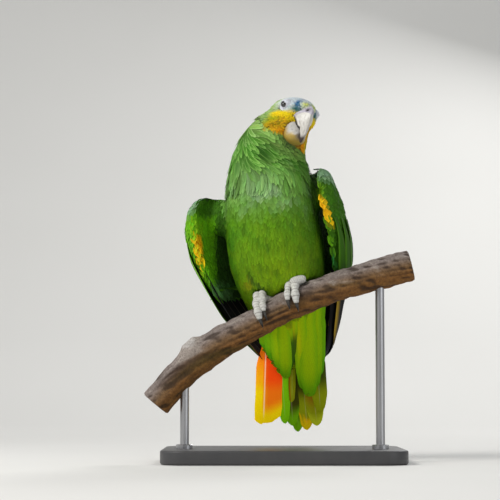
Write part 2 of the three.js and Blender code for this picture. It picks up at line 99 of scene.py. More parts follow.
# %% Lamps and room light
def area_lamp(name, place, aim, size, power, colour):
    lamp = bpy.data.lights.new(name, "AREA")
    lamp.shape = "DISK"
    lamp.size = size
    lamp.energy = power
    lamp.color = colour
    lamp_object = bpy.data.objects.new(name, lamp)
    lamp_object.location = place
    lamp_object.rotation_euler = (Vector(place) - Vector(aim)).to_track_quat("Z", "Y").to_euler()
    scene.collection.objects.link(lamp_object)


area_lamp("key_lamp", (-1.1, -1.0, 1.35), (0, 0, 0.2), 0.7, 24, (1, 0.98, 0.95))
area_lamp("eye_lamp", (-0.88, -0.075, 0.48), (0, -0.03, 0.31), 0.3, 1.4, (1, 1, 1))
area_lamp("fill_lamp", (1.3, -1.2, 0.5), (0, 0, 0.2), 1.0, 4.5, (0.95, 0.98, 1))
area_lamp("rim_lamp", (0.6, 1.3, 1.1), (0, 0, 0.25), 0.6, 9, (1, 1, 1))
room = bpy.data.worlds.new("room")
room.use_nodes = True
sky = room.node_tree.nodes["Background"].inputs
sky["Color"].default_value = (0.86, 0.88, 0.9, 1)
sky["Strength"].default_value = 0.42
scene.world = room

# %% [markdown]
# ## Shader arithmetic
#
# A pattern is easiest to read as a sum. A small class wraps a socket, so that plain
# Python operators add the maths nodes, and one method adds any other kind of node.


# %% A value in a material
class Val:
    def __init__(self, paint, socket):
        self.paint, self.socket = paint, socket

    def __add__(self, other):
        return self.paint.maths("ADD", self, other)

    def __sub__(self, other):
        return self.paint.maths("SUBTRACT", self, other)

    def __mul__(self, other):
        return self.paint.maths("MULTIPLY", self, other)

    __radd__ = __add__
    __rmul__ = __mul__


class Paint:
    """The node tree of one material."""

    def __init__(self, name, **settings):
        self.material = bpy.data.materials.new(name)
        self.material.use_nodes = True
        self.tree = self.material.node_tree
        self.shader = self.tree.nodes["Principled BSDF"]
        for socket, value in settings.items():
            self.shader.inputs[socket.replace("_", " ")].default_value = value

    def node(self, kind, settings=(), output=0, **inputs):
        made = self.tree.nodes.new("ShaderNode" + kind)
        for key, value in dict(settings).items():
            setattr(made, key, value)
        for key, value in inputs.items():
            name = key.replace("_", " ")
            socket = made.inputs[int(name[2:])] if name.startswith("in") else made.inputs[name]
            self.feed(socket, value)
        return Val(self, made.outputs[output])

    def feed(self, socket, value):
        if isinstance(value, Val):
            self.tree.links.new(value.socket, socket)
        else:
            socket.default_value = value

    def maths(self, operation, a, b=0.0):
        return self.node("Math", {"operation": operation}, in0=a, in1=b)

    def mix(self, share, a, b, blend="MIX"):
        settings = {"data_type": "RGBA", "blend_type": blend, "clamp_factor": True}
        return self.node("Mix", settings, 2, in0=share, in6=a, in7=b)

    def ramp(self, value, low, high, from_value=0.0, to_value=1.0):
        return self.node(
            "MapRange", {"interpolation_type": "SMOOTHSTEP"},
            Value=value, From_Min=low, From_Max=high, To_Min=from_value, To_Max=to_value,
        )

    def place(self):
        return self.node("TexCoord", output=3)

    def noise(self, size, detail=3.0, stretch=None):
        """Cloudy values about 0.5, with lumps of the given size in millimetres."""
        vector = self.place()
        if stretch:
            vector = self.node("Mapping", Vector=vector, Scale=stretch)
        return self.node("TexNoise", Vector=vector, Scale=1 / (size * MM), Detail=detail)

    def cells(self, size, feature="DISTANCE_TO_EDGE"):
        """Small cells, like pores or scales, of the given size in millimetres."""
        return self.node("TexVoronoi", {"feature": feature}, Vector=self.place(), Scale=1 / (size * MM))

    def marks(self, layer="Marks"):
        """The colours that are stored on the mesh itself."""
        return self.node("Attribute", {"attribute_name": layer})

    def clouded(self, cloud, dark, layer="Marks"):
        """The stored colours, dimmed towards a darker tone where the cloud is low."""
        return self.mix(1.0, self.marks(layer), self.mix(cloud, rgba(*dark), WHITE), "MULTIPLY")

    def bump(self, height, depth, strength=1.0):
        """Raises the surface by the given depth in millimetres."""
        normal = self.node("Bump", Height=height, Distance=depth * MM, Strength=strength)
        self.feed(self.shader.inputs["Normal"], normal)

    def out(self, **inputs):
        for key, value in inputs.items():
            self.feed(self.shader.inputs[key.replace("_", " ")], value)
        return self.material


def rgb(*parts):
    """A colour given as it looks on a screen, 0 to 255, turned into light."""
    return tuple(((v / 255 + 0.055) / 1.055) ** 2.4 if v > 10 else v / 255 / 12.92 for v in parts)


def rgba(*parts):
    return (*rgb(*parts), 1.0)


WHITE = rgba(255, 255, 255)

print("shader helpers ready")

# %% [markdown]
# ## Floor
#
# A plain pale sheet, curved up far behind, so that no horizon shows.

# %% Floor
FLOOR_FLAT_TO = 0.9
FLOOR_CURVE = 1.2
FLOOR_BELOW = 0.0005
floor_mesh = bmesh.new()
bmesh.ops.create_grid(floor_mesh, x_segments=2, y_segments=24, size=3.0)
for vert in floor_mesh.verts:
    past = max(0.0, vert.co.y - FLOOR_FLAT_TO)
    vert.co.z = -FLOOR_BELOW + FLOOR_CURVE * past * past
floor_data = bpy.data.meshes.new("floor")
floor_mesh.to_mesh(floor_data)
floor_mesh.free()
floor_data.polygons.foreach_set("use_smooth", [True] * len(floor_data.polygons))
floor = bpy.data.objects.new("floor", floor_data)
scene.collection.objects.link(floor)
floor_paint = Paint("floor_paint", Roughness=0.85)
floor_tone = floor_paint.mix(floor_paint.noise(400, 2), rgba(222, 221, 217), rgba(230, 229, 226))
floor_data.materials.append(floor_paint.out(Base_Color=floor_tone))
floor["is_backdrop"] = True
print("floor laid")

# %% [markdown]
# ## Joining and laying out meshes
#
# Most pieces here are a bent tube or a sheet of rings: a bill, a toe, the branch. Each
# starts as one of Blender's own cylinders, cut into rows, and then its rows are moved to
# where the piece needs them. Two helpers do that, and others turn the finished mesh into
# an object that rides on the solids.


# %% Numbers that change smoothly along a piece
def between(keys, t):
    """The row at t, from 0 to 1, on a smooth curve through rows of numbers."""
    rows = np.asarray(keys, float)
    last = len(rows) - 1
    t = np.clip(np.atleast_1d(np.asarray(t, float)), 0, 1) * last
    span = np.minimum(t.astype(int), last - 1)
    u = (t - span)[:, None]
    a, b = rows[np.maximum(span - 1, 0)], rows[span]
    c, d = rows[span + 1], rows[np.minimum(span + 2, last)]
    return b + 0.5 * u * (c - a + u * (2 * a - 5 * b + 4 * c - d + u * (3 * (b - c) + d - a)))


def unit(v):
    v = np.asarray(v, float)
    return v / np.maximum(np.linalg.norm(v, axis=-1, keepdims=True), 1e-9)


def smoothstep(low, high, value):
    t = np.clip((np.asarray(value, float) - low) / (high - low), 0, 1)
    return t * t * (3 - 2 * t)


def hill(distance, reach):
    """1 at no distance, falling softly to 0 about two reaches away."""
    return np.exp(-((np.asarray(distance, float) / reach) ** 2))


# %% A closed tube of rings
def tube_of(rings):
    """A bmesh through an array of rings (count, sides, 3) in millimetres, its ends closed."""
    count, sides = rings.shape[:2]
    bm = bmesh.new()
    bmesh.ops.create_cone(bm, cap_ends=True, segments=sides, radius1=1, radius2=1, depth=1)
    bm.faces.ensure_lookup_table()
    uprights = [e for e in bm.edges if abs(e.verts[0].co.z - e.verts[1].co.z) > 0.5]
    bmesh.ops.subdivide_edges(bm, edges=uprights, cuts=count - 2, use_grid_fill=True)
    for vert in bm.verts:
        ring = round((vert.co.z + 0.5) * (count - 1))
        side = round(math.atan2(vert.co.y, vert.co.x) / (2 * math.pi) * sides) % sides
        vert.co = rings[ring, side] * MM
    caps = [f for f in bm.faces if len(f.verts) == sides and sides > 4]
    bmesh.ops.poke(bm, faces=caps)
    bmesh.ops.recalc_face_normals(bm, faces=bm.faces)
    return bm


def rings_along(points, radii, sides, up=(0, 0, 1), squash=1.0):
    """Round rings square to a line through points; squash flattens them along up."""
    points = np.asarray(points, float)
    ahead = unit(np.gradient(points, axis=0))
    side = unit(np.cross(ahead, np.broadcast_to(np.asarray(up, float), ahead.shape)))
    over = np.cross(side, ahead)
    turn = np.arange(sides) * 2 * math.pi / sides
    radii = np.asarray(radii, float)
    radii = np.broadcast_to(radii[:, None] if radii.ndim == 1 else radii, (len(points), sides))
    across = radii * np.cos(turn)
    along = radii * np.sin(turn) * squash
    return points[:, None] + across[..., None] * side[:, None] + along[..., None] * over[:, None]


# %% Finishing a piece
def ride_mesh(name, mesh, material, replaces=()):
    piece = bpy.data.objects.new(name, mesh)
    scene.collection.objects.link(piece)
    mesh.materials.append(material)
    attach(piece, "root")
    if replaces:
        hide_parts(*replaces)
    print(f"{name}: {len(mesh.polygons)} faces")
    return piece


def finish_piece(name, bm, material, replaces=(), sharp=40):
    mesh = bpy.data.meshes.new(name)
    bm.to_mesh(mesh)
    bm.free()
    piece = ride_mesh(name, mesh, material, replaces)
    mesh.polygons.foreach_set("use_smooth", [True] * len(mesh.polygons))
    mesh.set_sharp_from_angle(angle=math.radians(sharp))
    return piece


def add_part(whole, part):
    """Adds one bmesh to another and frees it."""
    loose = bpy.data.meshes.new("part")
    part.to_mesh(loose)
    part.free()
    whole.from_mesh(loose)
    bpy.data.meshes.remove(loose)


def numbers_of(rows, field, width=1, kind=np.float32):
    """One field of a mesh's points, corners, edges or faces, as numbers."""
    flat = np.empty(len(rows) * width, kind)
    rows.foreach_get(field, flat)
    return flat.reshape(-1, width) if width > 1 else flat


def places_of(mesh):
    return numbers_of(mesh.vertices, "co", 3).astype(float) / MM


def normals_of(mesh):
    return numbers_of(mesh.vertices, "normal", 3).astype(float)


def paint_points(mesh, name, colours):
    """Stores one colour for each vertex, as light."""
    layer = mesh.attributes.new(name, "FLOAT_COLOR", "POINT")
    layer.data.foreach_set("color", np.c_[colours, np.ones(len(colours))].astype(np.float32).ravel())


print("mesh helpers ready")

# %% [markdown]
# ## The head's own axes
#
# The face is easier to describe forward, left and up from between the eyes than in the
# room. The head is turned to the bird's left, its bill points down, and its crown leans.

# %% Head axes
HEAD_AT = np.array([15.0, -30.0, 313.4])
HEAD_TURN = Matrix.Rotation(math.radians(23), 3, "Z")
HEAD_NOD = Matrix.Rotation(math.radians(14.5), 3, "X")
HEAD_TILT = Matrix.Rotation(math.radians(16), 3, "Y")
HEAD_AXES = np.array(HEAD_TURN @ HEAD_NOD @ HEAD_TILT)


def in_head(f, l, u):
    """Room places of points given forward, left and up in the head."""
    return HEAD_AT + np.stack(np.broadcast_arrays(l, -np.asarray(f, float), u), -1) @ HEAD_AXES.T


def head_way(f, l, u):
    return np.array([l, -f, u]) @ HEAD_AXES.T


def of_head(places):
    """The reverse: forward, left and up of points in the room."""
    own = (np.asarray(places, float) - HEAD_AT) @ HEAD_AXES
    return -own[..., 1], own[..., 0], own[..., 2]


def from_skull(f, l, u):
    """How far a place is from the middle of the head."""
    return np.linalg.norm([f + 4, l, u + 6], axis=0)


print("between the eyes", in_head(0, 0, 0))

# %% [markdown]
# ## Wing charts
#
# A folded wing is a curved board. At each level a bowed line runs from its leading edge
# round to its trailing edge. Two numbers then name any place on it: the level, and how
# far back it lies along that line. The flight feathers are laid out flat on this chart.

# %% Wing charts
WING_KEYS = {
    # level, leading edge x, y, middle x, y, trailing edge x, y, thickness
    "right": [
        [238.5, -68, -11, -69, 0, -48, 15, 4],
        [234.5, -75, -17, -79, -2, -43, 26, 10],
        [222, -80, -21, -91, 2, -34, 35, 13],
        [202, -79, -21, -95, 8, -28, 40, 13],
        [180, -73, -17, -90, 16, -20, 44, 11],
        [160, -64, -12, -77, 20, -14, 47, 8.5],
        [141, -54, -4, -62, 26, -10, 50, 6],
        [124, -43, 6, -47, 34, -8, 54, 4],
        [110, -33, 18, -34, 42, -6, 57, 2.8],
        [98, -23, 32, -22, 50, -3, 59, 2.2],
        [86, -13, 45, -10, 56, 0, 60, 1.8],
        [77, -6, 55, -4, 59, 1, 61, 1.4],
    ],
    "left": [
        [265, 33, -18, 40, -8, 28, 8, 4],
        [260, 31, -24, 48, -12, 26, 20, 10],
        [246, 29.5, -30, 62, -16, 24, 31, 13],
        [226, 32, -32, 78, -12, 20, 38, 13],
        [204, 37.5, -29, 85, -3, 12, 43, 11.5],
        [184, 41.5, -20, 86, 6, 8, 46, 10],
        [163, 43.5, -6, 80, 16, 7, 49, 8],
        [142, 43, 6, 72, 26, 7, 52, 5.5],
        [122, 42, 20, 66, 37, 9, 55, 3.6],
        [104, 40, 34, 57, 48, 12, 58, 2.6],
        [89, 35, 48, 40, 56, 15, 61, 2],
        [76, 24, 57, 22, 61, 17, 63, 1.4],
    ],
}
OUTWARD = {"right": -1.0, "left": 1.0}
BOW = np.linspace(0, 1, 25)


class Wing:
    """One wing's board: places, outward ways and feather ways on it."""

    def __init__(self, name):
        table = between(WING_KEYS[name], np.linspace(0, 1, 120))[::-1]
        self.out = OUTWARD[name]
        self.levels, self.table = table[:, 0], table[:, 1:]

    def row(self, level):
        return np.array([np.interp(level, self.levels, column) for column in self.table.T])

    def line(self, level):
        x0, y0, x1, y1, x2, y2, thick = self.row(level)
        s = BOW[:, None]
        bowed = (1 - s) ** 2 * [x0, y0] + 2 * s * (1 - s) * np.array([x1, y1]) + s * s * [x2, y2]
        reach = np.r_[0, np.cumsum(np.linalg.norm(np.diff(bowed, axis=0), axis=1))]
        return bowed, reach, thick

    def chord(self, level):
        return self.line(level)[1][-1]

    def at(self, level, back, off=0.0):
        """The place at a level, so far back from the leading edge and so far outward."""
        bowed, reach, _ = self.line(level)
        here, ahead, behind = (
            np.array([np.interp(back + step, reach, bowed[:, k]) for k in (0, 1)]) for step in (0, 1.5, -1.5)
        )
        way = (ahead - behind) / max(np.linalg.norm(ahead - behind), 1e-9)
        past = max(0.0, back - reach[-1]) + min(0.0, back)
        here = here + way * past + np.array([way[1], -way[0]]) * self.out * off
        return np.array([here[0], here[1], level])

    def edge(self, level, columns):
        return np.stack([np.interp(level, self.levels, self.table[:, k]) for k in columns], -1)

    def lead(self, level):
        return self.edge(level, (0, 1))

    def trail(self, level):
        return self.edge(level, (4, 5))


WINGS = {name: Wing(name) for name in WING_KEYS}
print("wing chord at level 200:", {n: round(w.chord(200), 1) for n, w in WINGS.items()})

# %% [markdown]
# ## Shape of the bill
#
# Each half of the bill is a row of egg-shaped sections, drawn forward and up in the
# head. The upper half hooks over the lower one and keeps a blunt notch where the lower
# edge bites against it. Horn grows in layers, so the surface has faint steps across it
# and fine scratches along it. The shape comes first, because the coat is cut to it.

# %% Bill sections
UPPER_BILL = [
    # outer f, u, inner f, u, half width, aside
    [17.5, 6, 7.6, -10.4, 7.1, -0.2], [21.2, 5.2, 10.8, -12, 7.1, -0.2],
    [25.2, 2, 14, -13.6, 6.5, -0.4], [27.4, -3.4, 16.8, -15.8, 5.0, -0.8],
    [28.2, -10.2, 19.4, -18.2, 3.7, -0.5], [27.8, -17, 21.4, -21, 2.7, 0],
    [26.5, -22.6, 22.7, -24, 1.9, 0], [25.1, -27.2, 24, -26.8, 0.8, 0],
]
LOWER_BILL = [
    [6, -7.4, 1.2, -27, 8.8, -1.5], [10.2, -8.8, 6.2, -30.2, 10.0, -1.5],
    [14.8, -11.6, 12, -31, 9.4, -1.5], [18.7, -14.8, 17.4, -29.2, 7.4, -1.5],
    [21, -17.5, 20.8, -26.4, 5.2, -1.3], [22.2, -19.2, 22.4, -22.6, 2.6, -1.2],
]
UPPER_RIDGE, LOWER_RIDGE = 0.58, 0.3  # how much narrower a section is on its outer side


def bill_points(keys, t, turn, ridge, proud=0.0):
    """Places on a bill at t along it and turn round it, both arrays of one shape."""
    rows = between(keys, np.ravel(t)).reshape(*np.shape(t), 6)
    outer, inner, width, aside = rows[..., :2], rows[..., 2:4], rows[..., 4], rows[..., 5]
    middle, across = (outer + inner) / 2, (outer - inner) / 2
    c, s = np.cos(turn), np.sin(turn)
    grow = 1 + proud / np.maximum(np.linalg.norm(across, axis=-1), 1e-6)
    front = middle + across * (c * grow)[..., None]
    side = aside + (width + proud) * s * (1 - ridge * c)
    return in_head(front[..., 0], side, front[..., 1])


def bill_half(keys, ridge, count, sides, seed, t_from=0.0):
    """Rings of one half of the bill, with growth steps, and its t and turn at each point."""
    t = np.broadcast_to(np.linspace(t_from, 1, count)[:, None], (count, sides)).copy()
    turn = np.broadcast_to(np.arange(sides) * 2 * math.pi / sides, (count, sides)).copy()
    dice = np.random.default_rng(seed)
    steps = sum(0.018 * np.sin(t * k + dice.uniform(0, 6) + 0.6 * np.cos(turn + dice.uniform(0, 6)))
                for k in (34, 57, 91))
    lines = 0.03 * np.sin(turn * 19 + 3 * np.sin(t * 5)) + 0.02 * np.sin(turn * 31 + 2)
    proud = (steps + lines) * smoothstep(0, 0.1, t) * (1 - 0.5 * t)
    return bill_points(keys, t, turn, ridge, proud), t, turn


upper_rings, upper_t, upper_turn = bill_half(UPPER_BILL, UPPER_RIDGE, 64, 48, 3)
notch = 2.2 * hill((upper_t - 0.55) / 0.06, 1) * smoothstep(0.0, -0.6, np.cos(upper_turn))
tooth = 0.5 * hill((upper_t - 0.42) / 0.07, 1) * smoothstep(-0.2, -0.8, np.cos(upper_turn))
upper_rings = upper_rings + (notch - tooth)[..., None] * head_way(0.8, 0, 0.6)
lower_rings, lower_t, lower_turn = bill_half(LOWER_BILL, LOWER_RIDGE, 48, 48, 5)
print("bill length", round(float(np.linalg.norm(upper_rings[0, 0] - upper_rings[-1, 0])), 1), "mm")

# %% [markdown]
# ## One skin for the whole bird
#
# The flesh comes as separate solids with hairline gaps between them. Copies of them are
# swollen a little, so that they meet, and joined. A voxel remesh turns that into one
# even skin, which is smoothed and then drawn in by the depth of the coat: 1.4 mm where the
# body is thick, less where a wing or a covert is thin, and more beneath the bill. The
# bill and the eyes are joined in too, so that the skin runs closed beneath them.

# %% Joining the flesh
FLESH = [
    "head", "neck", "trunk", "thigh_right", "thigh_left", "wing_right", "wing_left",
    "tail_coverts_under", "tail_coverts_over",
]
UNDER_HORN = ["cere", "bill_upper", "bill_lower", "eye_right", "eye_left"]
SWELL = 0.35
VOXEL = 1.5
COAT_DEPTH = 1.4
BILL_DEPTH = 1.5  # further in beneath the bill
THIN_SHARE = 0.3  # at most this share of the thickness


def solid_copy(node):
    """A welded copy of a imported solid."""
    bm = bmesh.new()
    bm.from_mesh(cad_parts[node].data)
    bmesh.ops.remove_doubles(bm, verts=bm.verts, dist=1e-6)
    bm.normal_update()
    return bm


def joined_flesh():
    whole = bmesh.new()
    for node in FLESH + UNDER_HORN:
        part = solid_copy(node)
        for vert in part.verts:
            vert.co += vert.normal * SWELL * MM
        add_part(whole, part)
    return whole


def remeshed(bm, voxel):
    """The outside of a heap of closed shapes, as one even mesh."""
    rough = bpy.data.meshes.new("rough")
    bm.to_mesh(rough)
    bm.free()
    holder = bpy.data.objects.new("rough", rough)
    scene.collection.objects.link(holder)
    remesh = holder.modifiers.new("remesh", "REMESH")
    remesh.mode = "VOXEL"
    remesh.voxel_size = voxel * MM
    even = bpy.data.meshes.new_from_object(holder.evaluated_get(bpy.context.evaluated_depsgraph_get()))
    bpy.data.objects.remove(holder)
    out = bmesh.new()
    out.from_mesh(even)
    bpy.data.meshes.remove(even)
    return out


def keep_largest(bm):
    """Drops shells that lie inside or float free."""
    bm.verts.ensure_lookup_table()
    seen, shells = set(), []
    for start in bm.verts:
        if start.index in seen:
            continue
        shell, edge = {start.index}, [start]
        while edge:
            for link in edge.pop().link_edges:
                for vert in link.verts:
                    if vert.index not in shell:
                        shell.add(vert.index)
                        edge.append(vert)
        seen |= shell
        shells.append(shell)
    shells.sort(key=len)
    drop = [bm.verts[i] for shell in shells[:-1] for i in shell]
    bmesh.ops.delete(bm, geom=drop, context="VERTS")
    return len(shells)


skin_bm = remeshed(joined_flesh(), VOXEL)
print("skin shells", keep_largest(skin_bm), "verts", len(skin_bm.verts))

# %% Smoothing and drawing in
def smooth(bm, rounds, factor):
    for _ in range(rounds):
        bmesh.ops.smooth_vert(
            bm, verts=bm.verts, factor=factor, use_axis_x=True, use_axis_y=True, use_axis_z=True
        )


smooth(skin_bm, 10, 0.6)
skin_bm.normal_update()
outer_skin = BVHTree.FromBMesh(skin_bm)
for vert in skin_bm.verts:
    inward = -vert.normal
    hit = outer_skin.ray_cast(vert.co + inward * 2e-4, inward)[3]
    thickness = (hit if hit is not None else 0.02) / MM
    f, _, u = of_head(np.array(vert.co) / MM)
    under_bill = BILL_DEPTH * float(smoothstep(8, 14, f) * smoothstep(4, 0, u))
    vert.co += inward * min(COAT_DEPTH + under_bill, THIN_SHARE * thickness) * MM
smooth(skin_bm, 4, 0.5)
bmesh.ops.recalc_face_normals(skin_bm, faces=skin_bm.faces)
skin_bm.normal_update()
skin_tree = BVHTree.FromBMesh(skin_bm)
print("skin drawn in", round(time.time() - started, 1), "s")

# %% [markdown]
# ## Which way the feathers lie
#
# Every feather points from the bill towards the tail. On the head that means backward
# and then down over the cheeks. The turned head drags the neck feathers round, so that
# they run aslant across the throat. On the body they hang, and on each wing they follow
# its leading edge. Each part has a rule of its own, and the rules fade into each other.

# %% Parts of the body
PARTS = ["head", "neck", "trunk", "thigh", "wing_right", "wing_left", "coverts", "bare"]
PART_OF_NODE = {
    "head": "head", "neck": "neck", "trunk": "trunk", "thigh_right": "thigh", "thigh_left": "thigh",
    "wing_right": "wing_right", "wing_left": "wing_left",
    "tail_coverts_under": "coverts", "tail_coverts_over": "coverts",
    "eye_right": "bare", "eye_left": "bare",
}


def tree_of(bm):
    tree = BVHTree.FromBMesh(bm)
    bm.free()
    return tree


horn_trees = [tree_of(tube_of(rings)) for rings in (upper_rings, lower_rings)]


def above_horn(places):
    """How far each place stands outside the bill, in millimetres; less than 0 is inside."""
    height = []
    for place in places:
        here = Vector(place * MM)
        hits = [tree.find_nearest(here) for tree in horn_trees]
        height.append(min(away if (here - at).dot(way) > 0 else -away for at, way, _, away in hits))
    return np.array(height) / MM


def away_from(tree, places):
    """How far each place is from a surface, in millimetres."""
    return np.array([tree.find_nearest(Vector(place * MM))[3] for place in places]) / MM


def nearest_parts(places):
    """The number in PARTS of the solid nearest to each place."""
    best = np.full(len(places), 1e9)
    part = np.zeros(len(places), int)
    for node, name in PART_OF_NODE.items():
        tree = tree_of(solid_copy(node))
        held_back = 0.6 if name == "bare" else 0.0
        away = away_from(tree, places) + held_back
        nearer = away < best
        best[nearer] = away[nearer]
        part[nearer] = PARTS.index(name)
    part[above_horn(places) < 0.3] = PARTS.index("bare")
    return part


# %% The lie of the coat
def lie_of_head(places):
    f, l, u = of_head(places)
    down = 0.1 + 1.5 * smoothstep(4, -24, u) + 0.5 * smoothstep(-14, -30, f)
    aside = 0.35 * np.sign(l) * smoothstep(22, 8, f) * hill(l, 9)
    return unit(np.stack([aside, np.ones_like(f), -down], -1)) @ HEAD_AXES.T


def lie_of_neck(places):
    x, y, z = places.T
    front = smoothstep(10, -30, y)
    slant = front * smoothstep(244, 268, z) * smoothstep(-50, -22, x)
    left_fall = 0.4 * smoothstep(-20, -45, x) * smoothstep(250, 270, z)
    aside = 1.15 * slant - 0.15 * (1 - front) - left_fall
    return unit(np.stack([aside, np.full_like(x, 0.05), -1.0 + 0.25 * slant], -1))


def lie_of_trunk(places):
    x, y, z = places.T
    back_sweep = 0.12 + 0.3 * smoothstep(175, 130, z)
    spread = 0.10 * np.clip((x + 5) / 40, -1, 1) * smoothstep(150, 230, z)
    return unit(np.stack([spread, back_sweep, -np.ones_like(x)], -1))


def lie_of_wing(places, wing):
    z = places[:, 2]
    lead, trail = wing.lead(z - 6) - wing.lead(z + 6), wing.trail(z - 6) - wing.trail(z + 6)
    away_lead = np.linalg.norm(places[:, :2] - wing.lead(z), axis=1)
    away_trail = np.linalg.norm(places[:, :2] - wing.trail(z), axis=1)
    share = (away_lead / (away_lead + away_trail + 1e-6))[:, None]
    sweep = (lead * (1 - share) + trail * share) / 12
    return unit(np.c_[sweep, -np.ones(len(z))])


def lie_at(places, parts):
    way = lie_of_trunk(places)
    nearness = smoothstep(40, 30, np.linalg.norm(places - in_head(-4, 0, -6), axis=1))[:, None]
    neck = smoothstep(240, 262, places[:, 2])[:, None]
    way = unit(way * (1 - neck) + lie_of_neck(places) * neck)
    on_head = np.where(parts == PARTS.index("head"), 1.0, 0.6)[:, None] * nearness
    way = unit(way * (1 - on_head) + lie_of_head(places) * on_head)
    for name, wing in WINGS.items():
        here = parts == PARTS.index("wing_" + name)
        if here.any():
            way[here] = lie_of_wing(places[here], wing)
    here = parts == PARTS.index("coverts")
    way[here] = unit([0.02, 0.3, -1.0])
    return way


print("rules for the lie of the coat ready")

# %% [markdown]
# ## The markings
#
# Skin and feathers take their colours from the same rules, so that a gap in the coat
# never shows a stranger's colour. Each rule is a soft spot laid over the green: a blue
# lore, a yellow cheek, a pale crown, a grey-green upper breast, a yellow patch where
# each wing's edge turns. Every place gets two colours, one for the middle of a feather
# and one for its rim, because a parrot's collar shows pale rims over dark green.

# %% The palette
HUE = {
    "leaf": rgb(96, 152, 10), "grass": rgb(112, 160, 4), "deep": rgb(56, 106, 6),
    "glaucous": rgb(122, 174, 82), "misty": rgb(150, 186, 132), "flank": rgb(70, 134, 14),
    "lime": rgb(166, 200, 2), "lemon": rgb(226, 214, 4), "collar": rgb(62, 122, 28),
    "collar_rim": rgb(130, 184, 82), "nape": rgb(138, 176, 84), "nape_rim": rgb(190, 212, 146),
    "crown": rgb(222, 232, 234), "crown_blue": rgb(150, 184, 206), "covert": rgb(164, 202, 2),
    "covert_edge": rgb(92, 172, 8), "teal_lore": rgb(24, 96, 92), "lore": rgb(36, 100, 146),
    "forehead": rgb(226, 236, 130), "ear": rgb(200, 214, 180), "bare": rgb(206, 214, 226),
    "cheek": rgb(255, 222, 24), "cheek_ochre": rgb(196, 136, 10), "cheek_green": rgb(140, 168, 10),
    "throat": rgb(232, 158, 8), "wrist": rgb(150, 190, 150),
    "wing": rgb(62, 116, 8), "wing_edge": rgb(112, 182, 16), "patch": rgb(255, 212, 8),
    "patch_orange": rgb(250, 176, 6), "patch_rim": rgb(150, 196, 22), "under_wing": rgb(116, 196, 14),
    "shade": rgb(44, 84, 14), "teal": rgb(112, 172, 96), "black": rgb(8, 9, 8),
    "night": rgb(16, 22, 46), "turquoise": rgb(40, 170, 96),
}
HUE = {name: np.array(colour) for name, colour in HUE.items()}


def lay(colour, hue, share):
    """Lays a named hue over the colours, by a share from 0 to 1."""
    share = np.clip(share, 0, 1)[:, None]
    return colour * (1 - share) + HUE[hue] * share


def lay_all(colour, layers):
    """Lays several named hues over each other, the first one lowest."""
    for hue, share in layers:
        colour = lay(colour, hue, share)
    return colour


# %% Body colours
def drift(places, size, seed):
    """A smooth random field about 0, with lumps of the given size in millimetres."""
    dice = np.random.default_rng(seed)
    field = 0
    for _ in range(9):
        way = unit(dice.normal(size=3)) * dice.uniform(0.6, 1.6) * math.pi / size
        field = field + np.sin(places @ way + dice.uniform(0, 6.3))
    return field / 3


def body_colours(places):
    x, y, z = places.T
    side = smoothstep(-5, 34, x)
    fold = smoothstep(2.8, 1.2, np.abs((x + 23.5) * 0.64 + (z - 158.5) * 0.77))
    fold = fold * smoothstep(11, 8, np.abs(x + 22)) * smoothstep(0, -9, y)
    rim = lay_all(np.tile(HUE["leaf"], (len(z), 1)), (
        ("grass", smoothstep(205, 165, z)),
        # The bird's left side is painted a darker green and loses its grey-green bloom: painted shade on the
        # side turned from the light.
        ("deep", 0.75 * side * smoothstep(140, 165, z)),
        ("flank", 0.8 * smoothstep(-32, -48, x) * smoothstep(225, 195, z)),
        ("glaucous", smoothstep(212, 244, z) * (0.9 - 0.7 * side)),
        ("misty", 0.45 * hill((x + 24) / 16, 1) * hill((z - 246) / 12, 1)),
        ("lime", smoothstep(140, 116, z)),
        ("lemon", 0.8 * hill(np.hypot(x - 11, z - 116), 9) + 0.3 * hill(np.hypot(x - 20, z - 90), 12)),
        ("deep", 0.7 * smoothstep(6, 24, y) * smoothstep(120, 150, z)),
        ("lime", 0.16 * drift(places, 12, 1) * smoothstep(225, 190, z)),
        ("lime", 0.35 * hill(np.hypot((x - 2) / 26, (z - 168) / 34), 1)),
        ("deep", 0.3 * drift(places * [1, 1, 0.4], 5, 2)),
        ("cheek_ochre", 0.3 * hill(np.hypot(x + 31.5, z - 159.5), 4.5)),
        ("shade", 0.7 * fold),
        ("misty", 0.3 * drift(places * [1, 1, 1.6], 9, 3) * smoothstep(205, 235, z)),
    ))
    return rim, rim * 0.9


def neck_colours(places):
    x, y, z = places.T
    rim, middle = body_colours(places)
    collar = smoothstep(252, 266, z)
    rim = lay(rim, "collar_rim", (0.7 - 0.45 * smoothstep(-20, 20, x)) * collar)
    middle = lay(middle, "collar", collar)
    shaded = 0.55 * collar * smoothstep(-8, 26, x)
    rim, middle = lay(rim, "deep", shaded), lay(middle, "deep", shaded)
    nape = smoothstep(282, 306, z) * smoothstep(14, -8, x)
    rim = lay(rim, "nape_rim", 0.8 * nape)
    middle = lay(middle, "nape", nape)
    return rim, middle


# %% Face colours
def cheek_share(f, l, u):
    """How far a place belongs to the yellow cheek and throat, 0 to 1."""
    floor = -26 - 0.3 * np.clip(l + 13, 0, 26)
    front = smoothstep(-17, -9, f + 0.8 * (u + 12))
    top = np.interp(f, [-14, -6, 0, 5, 9, 13], [-10, -7, -6, -4, -3, -2.2])
    return smoothstep(1.7, -1.7, u - top) * smoothstep(floor - 1.5, floor + 1.5, u) * front


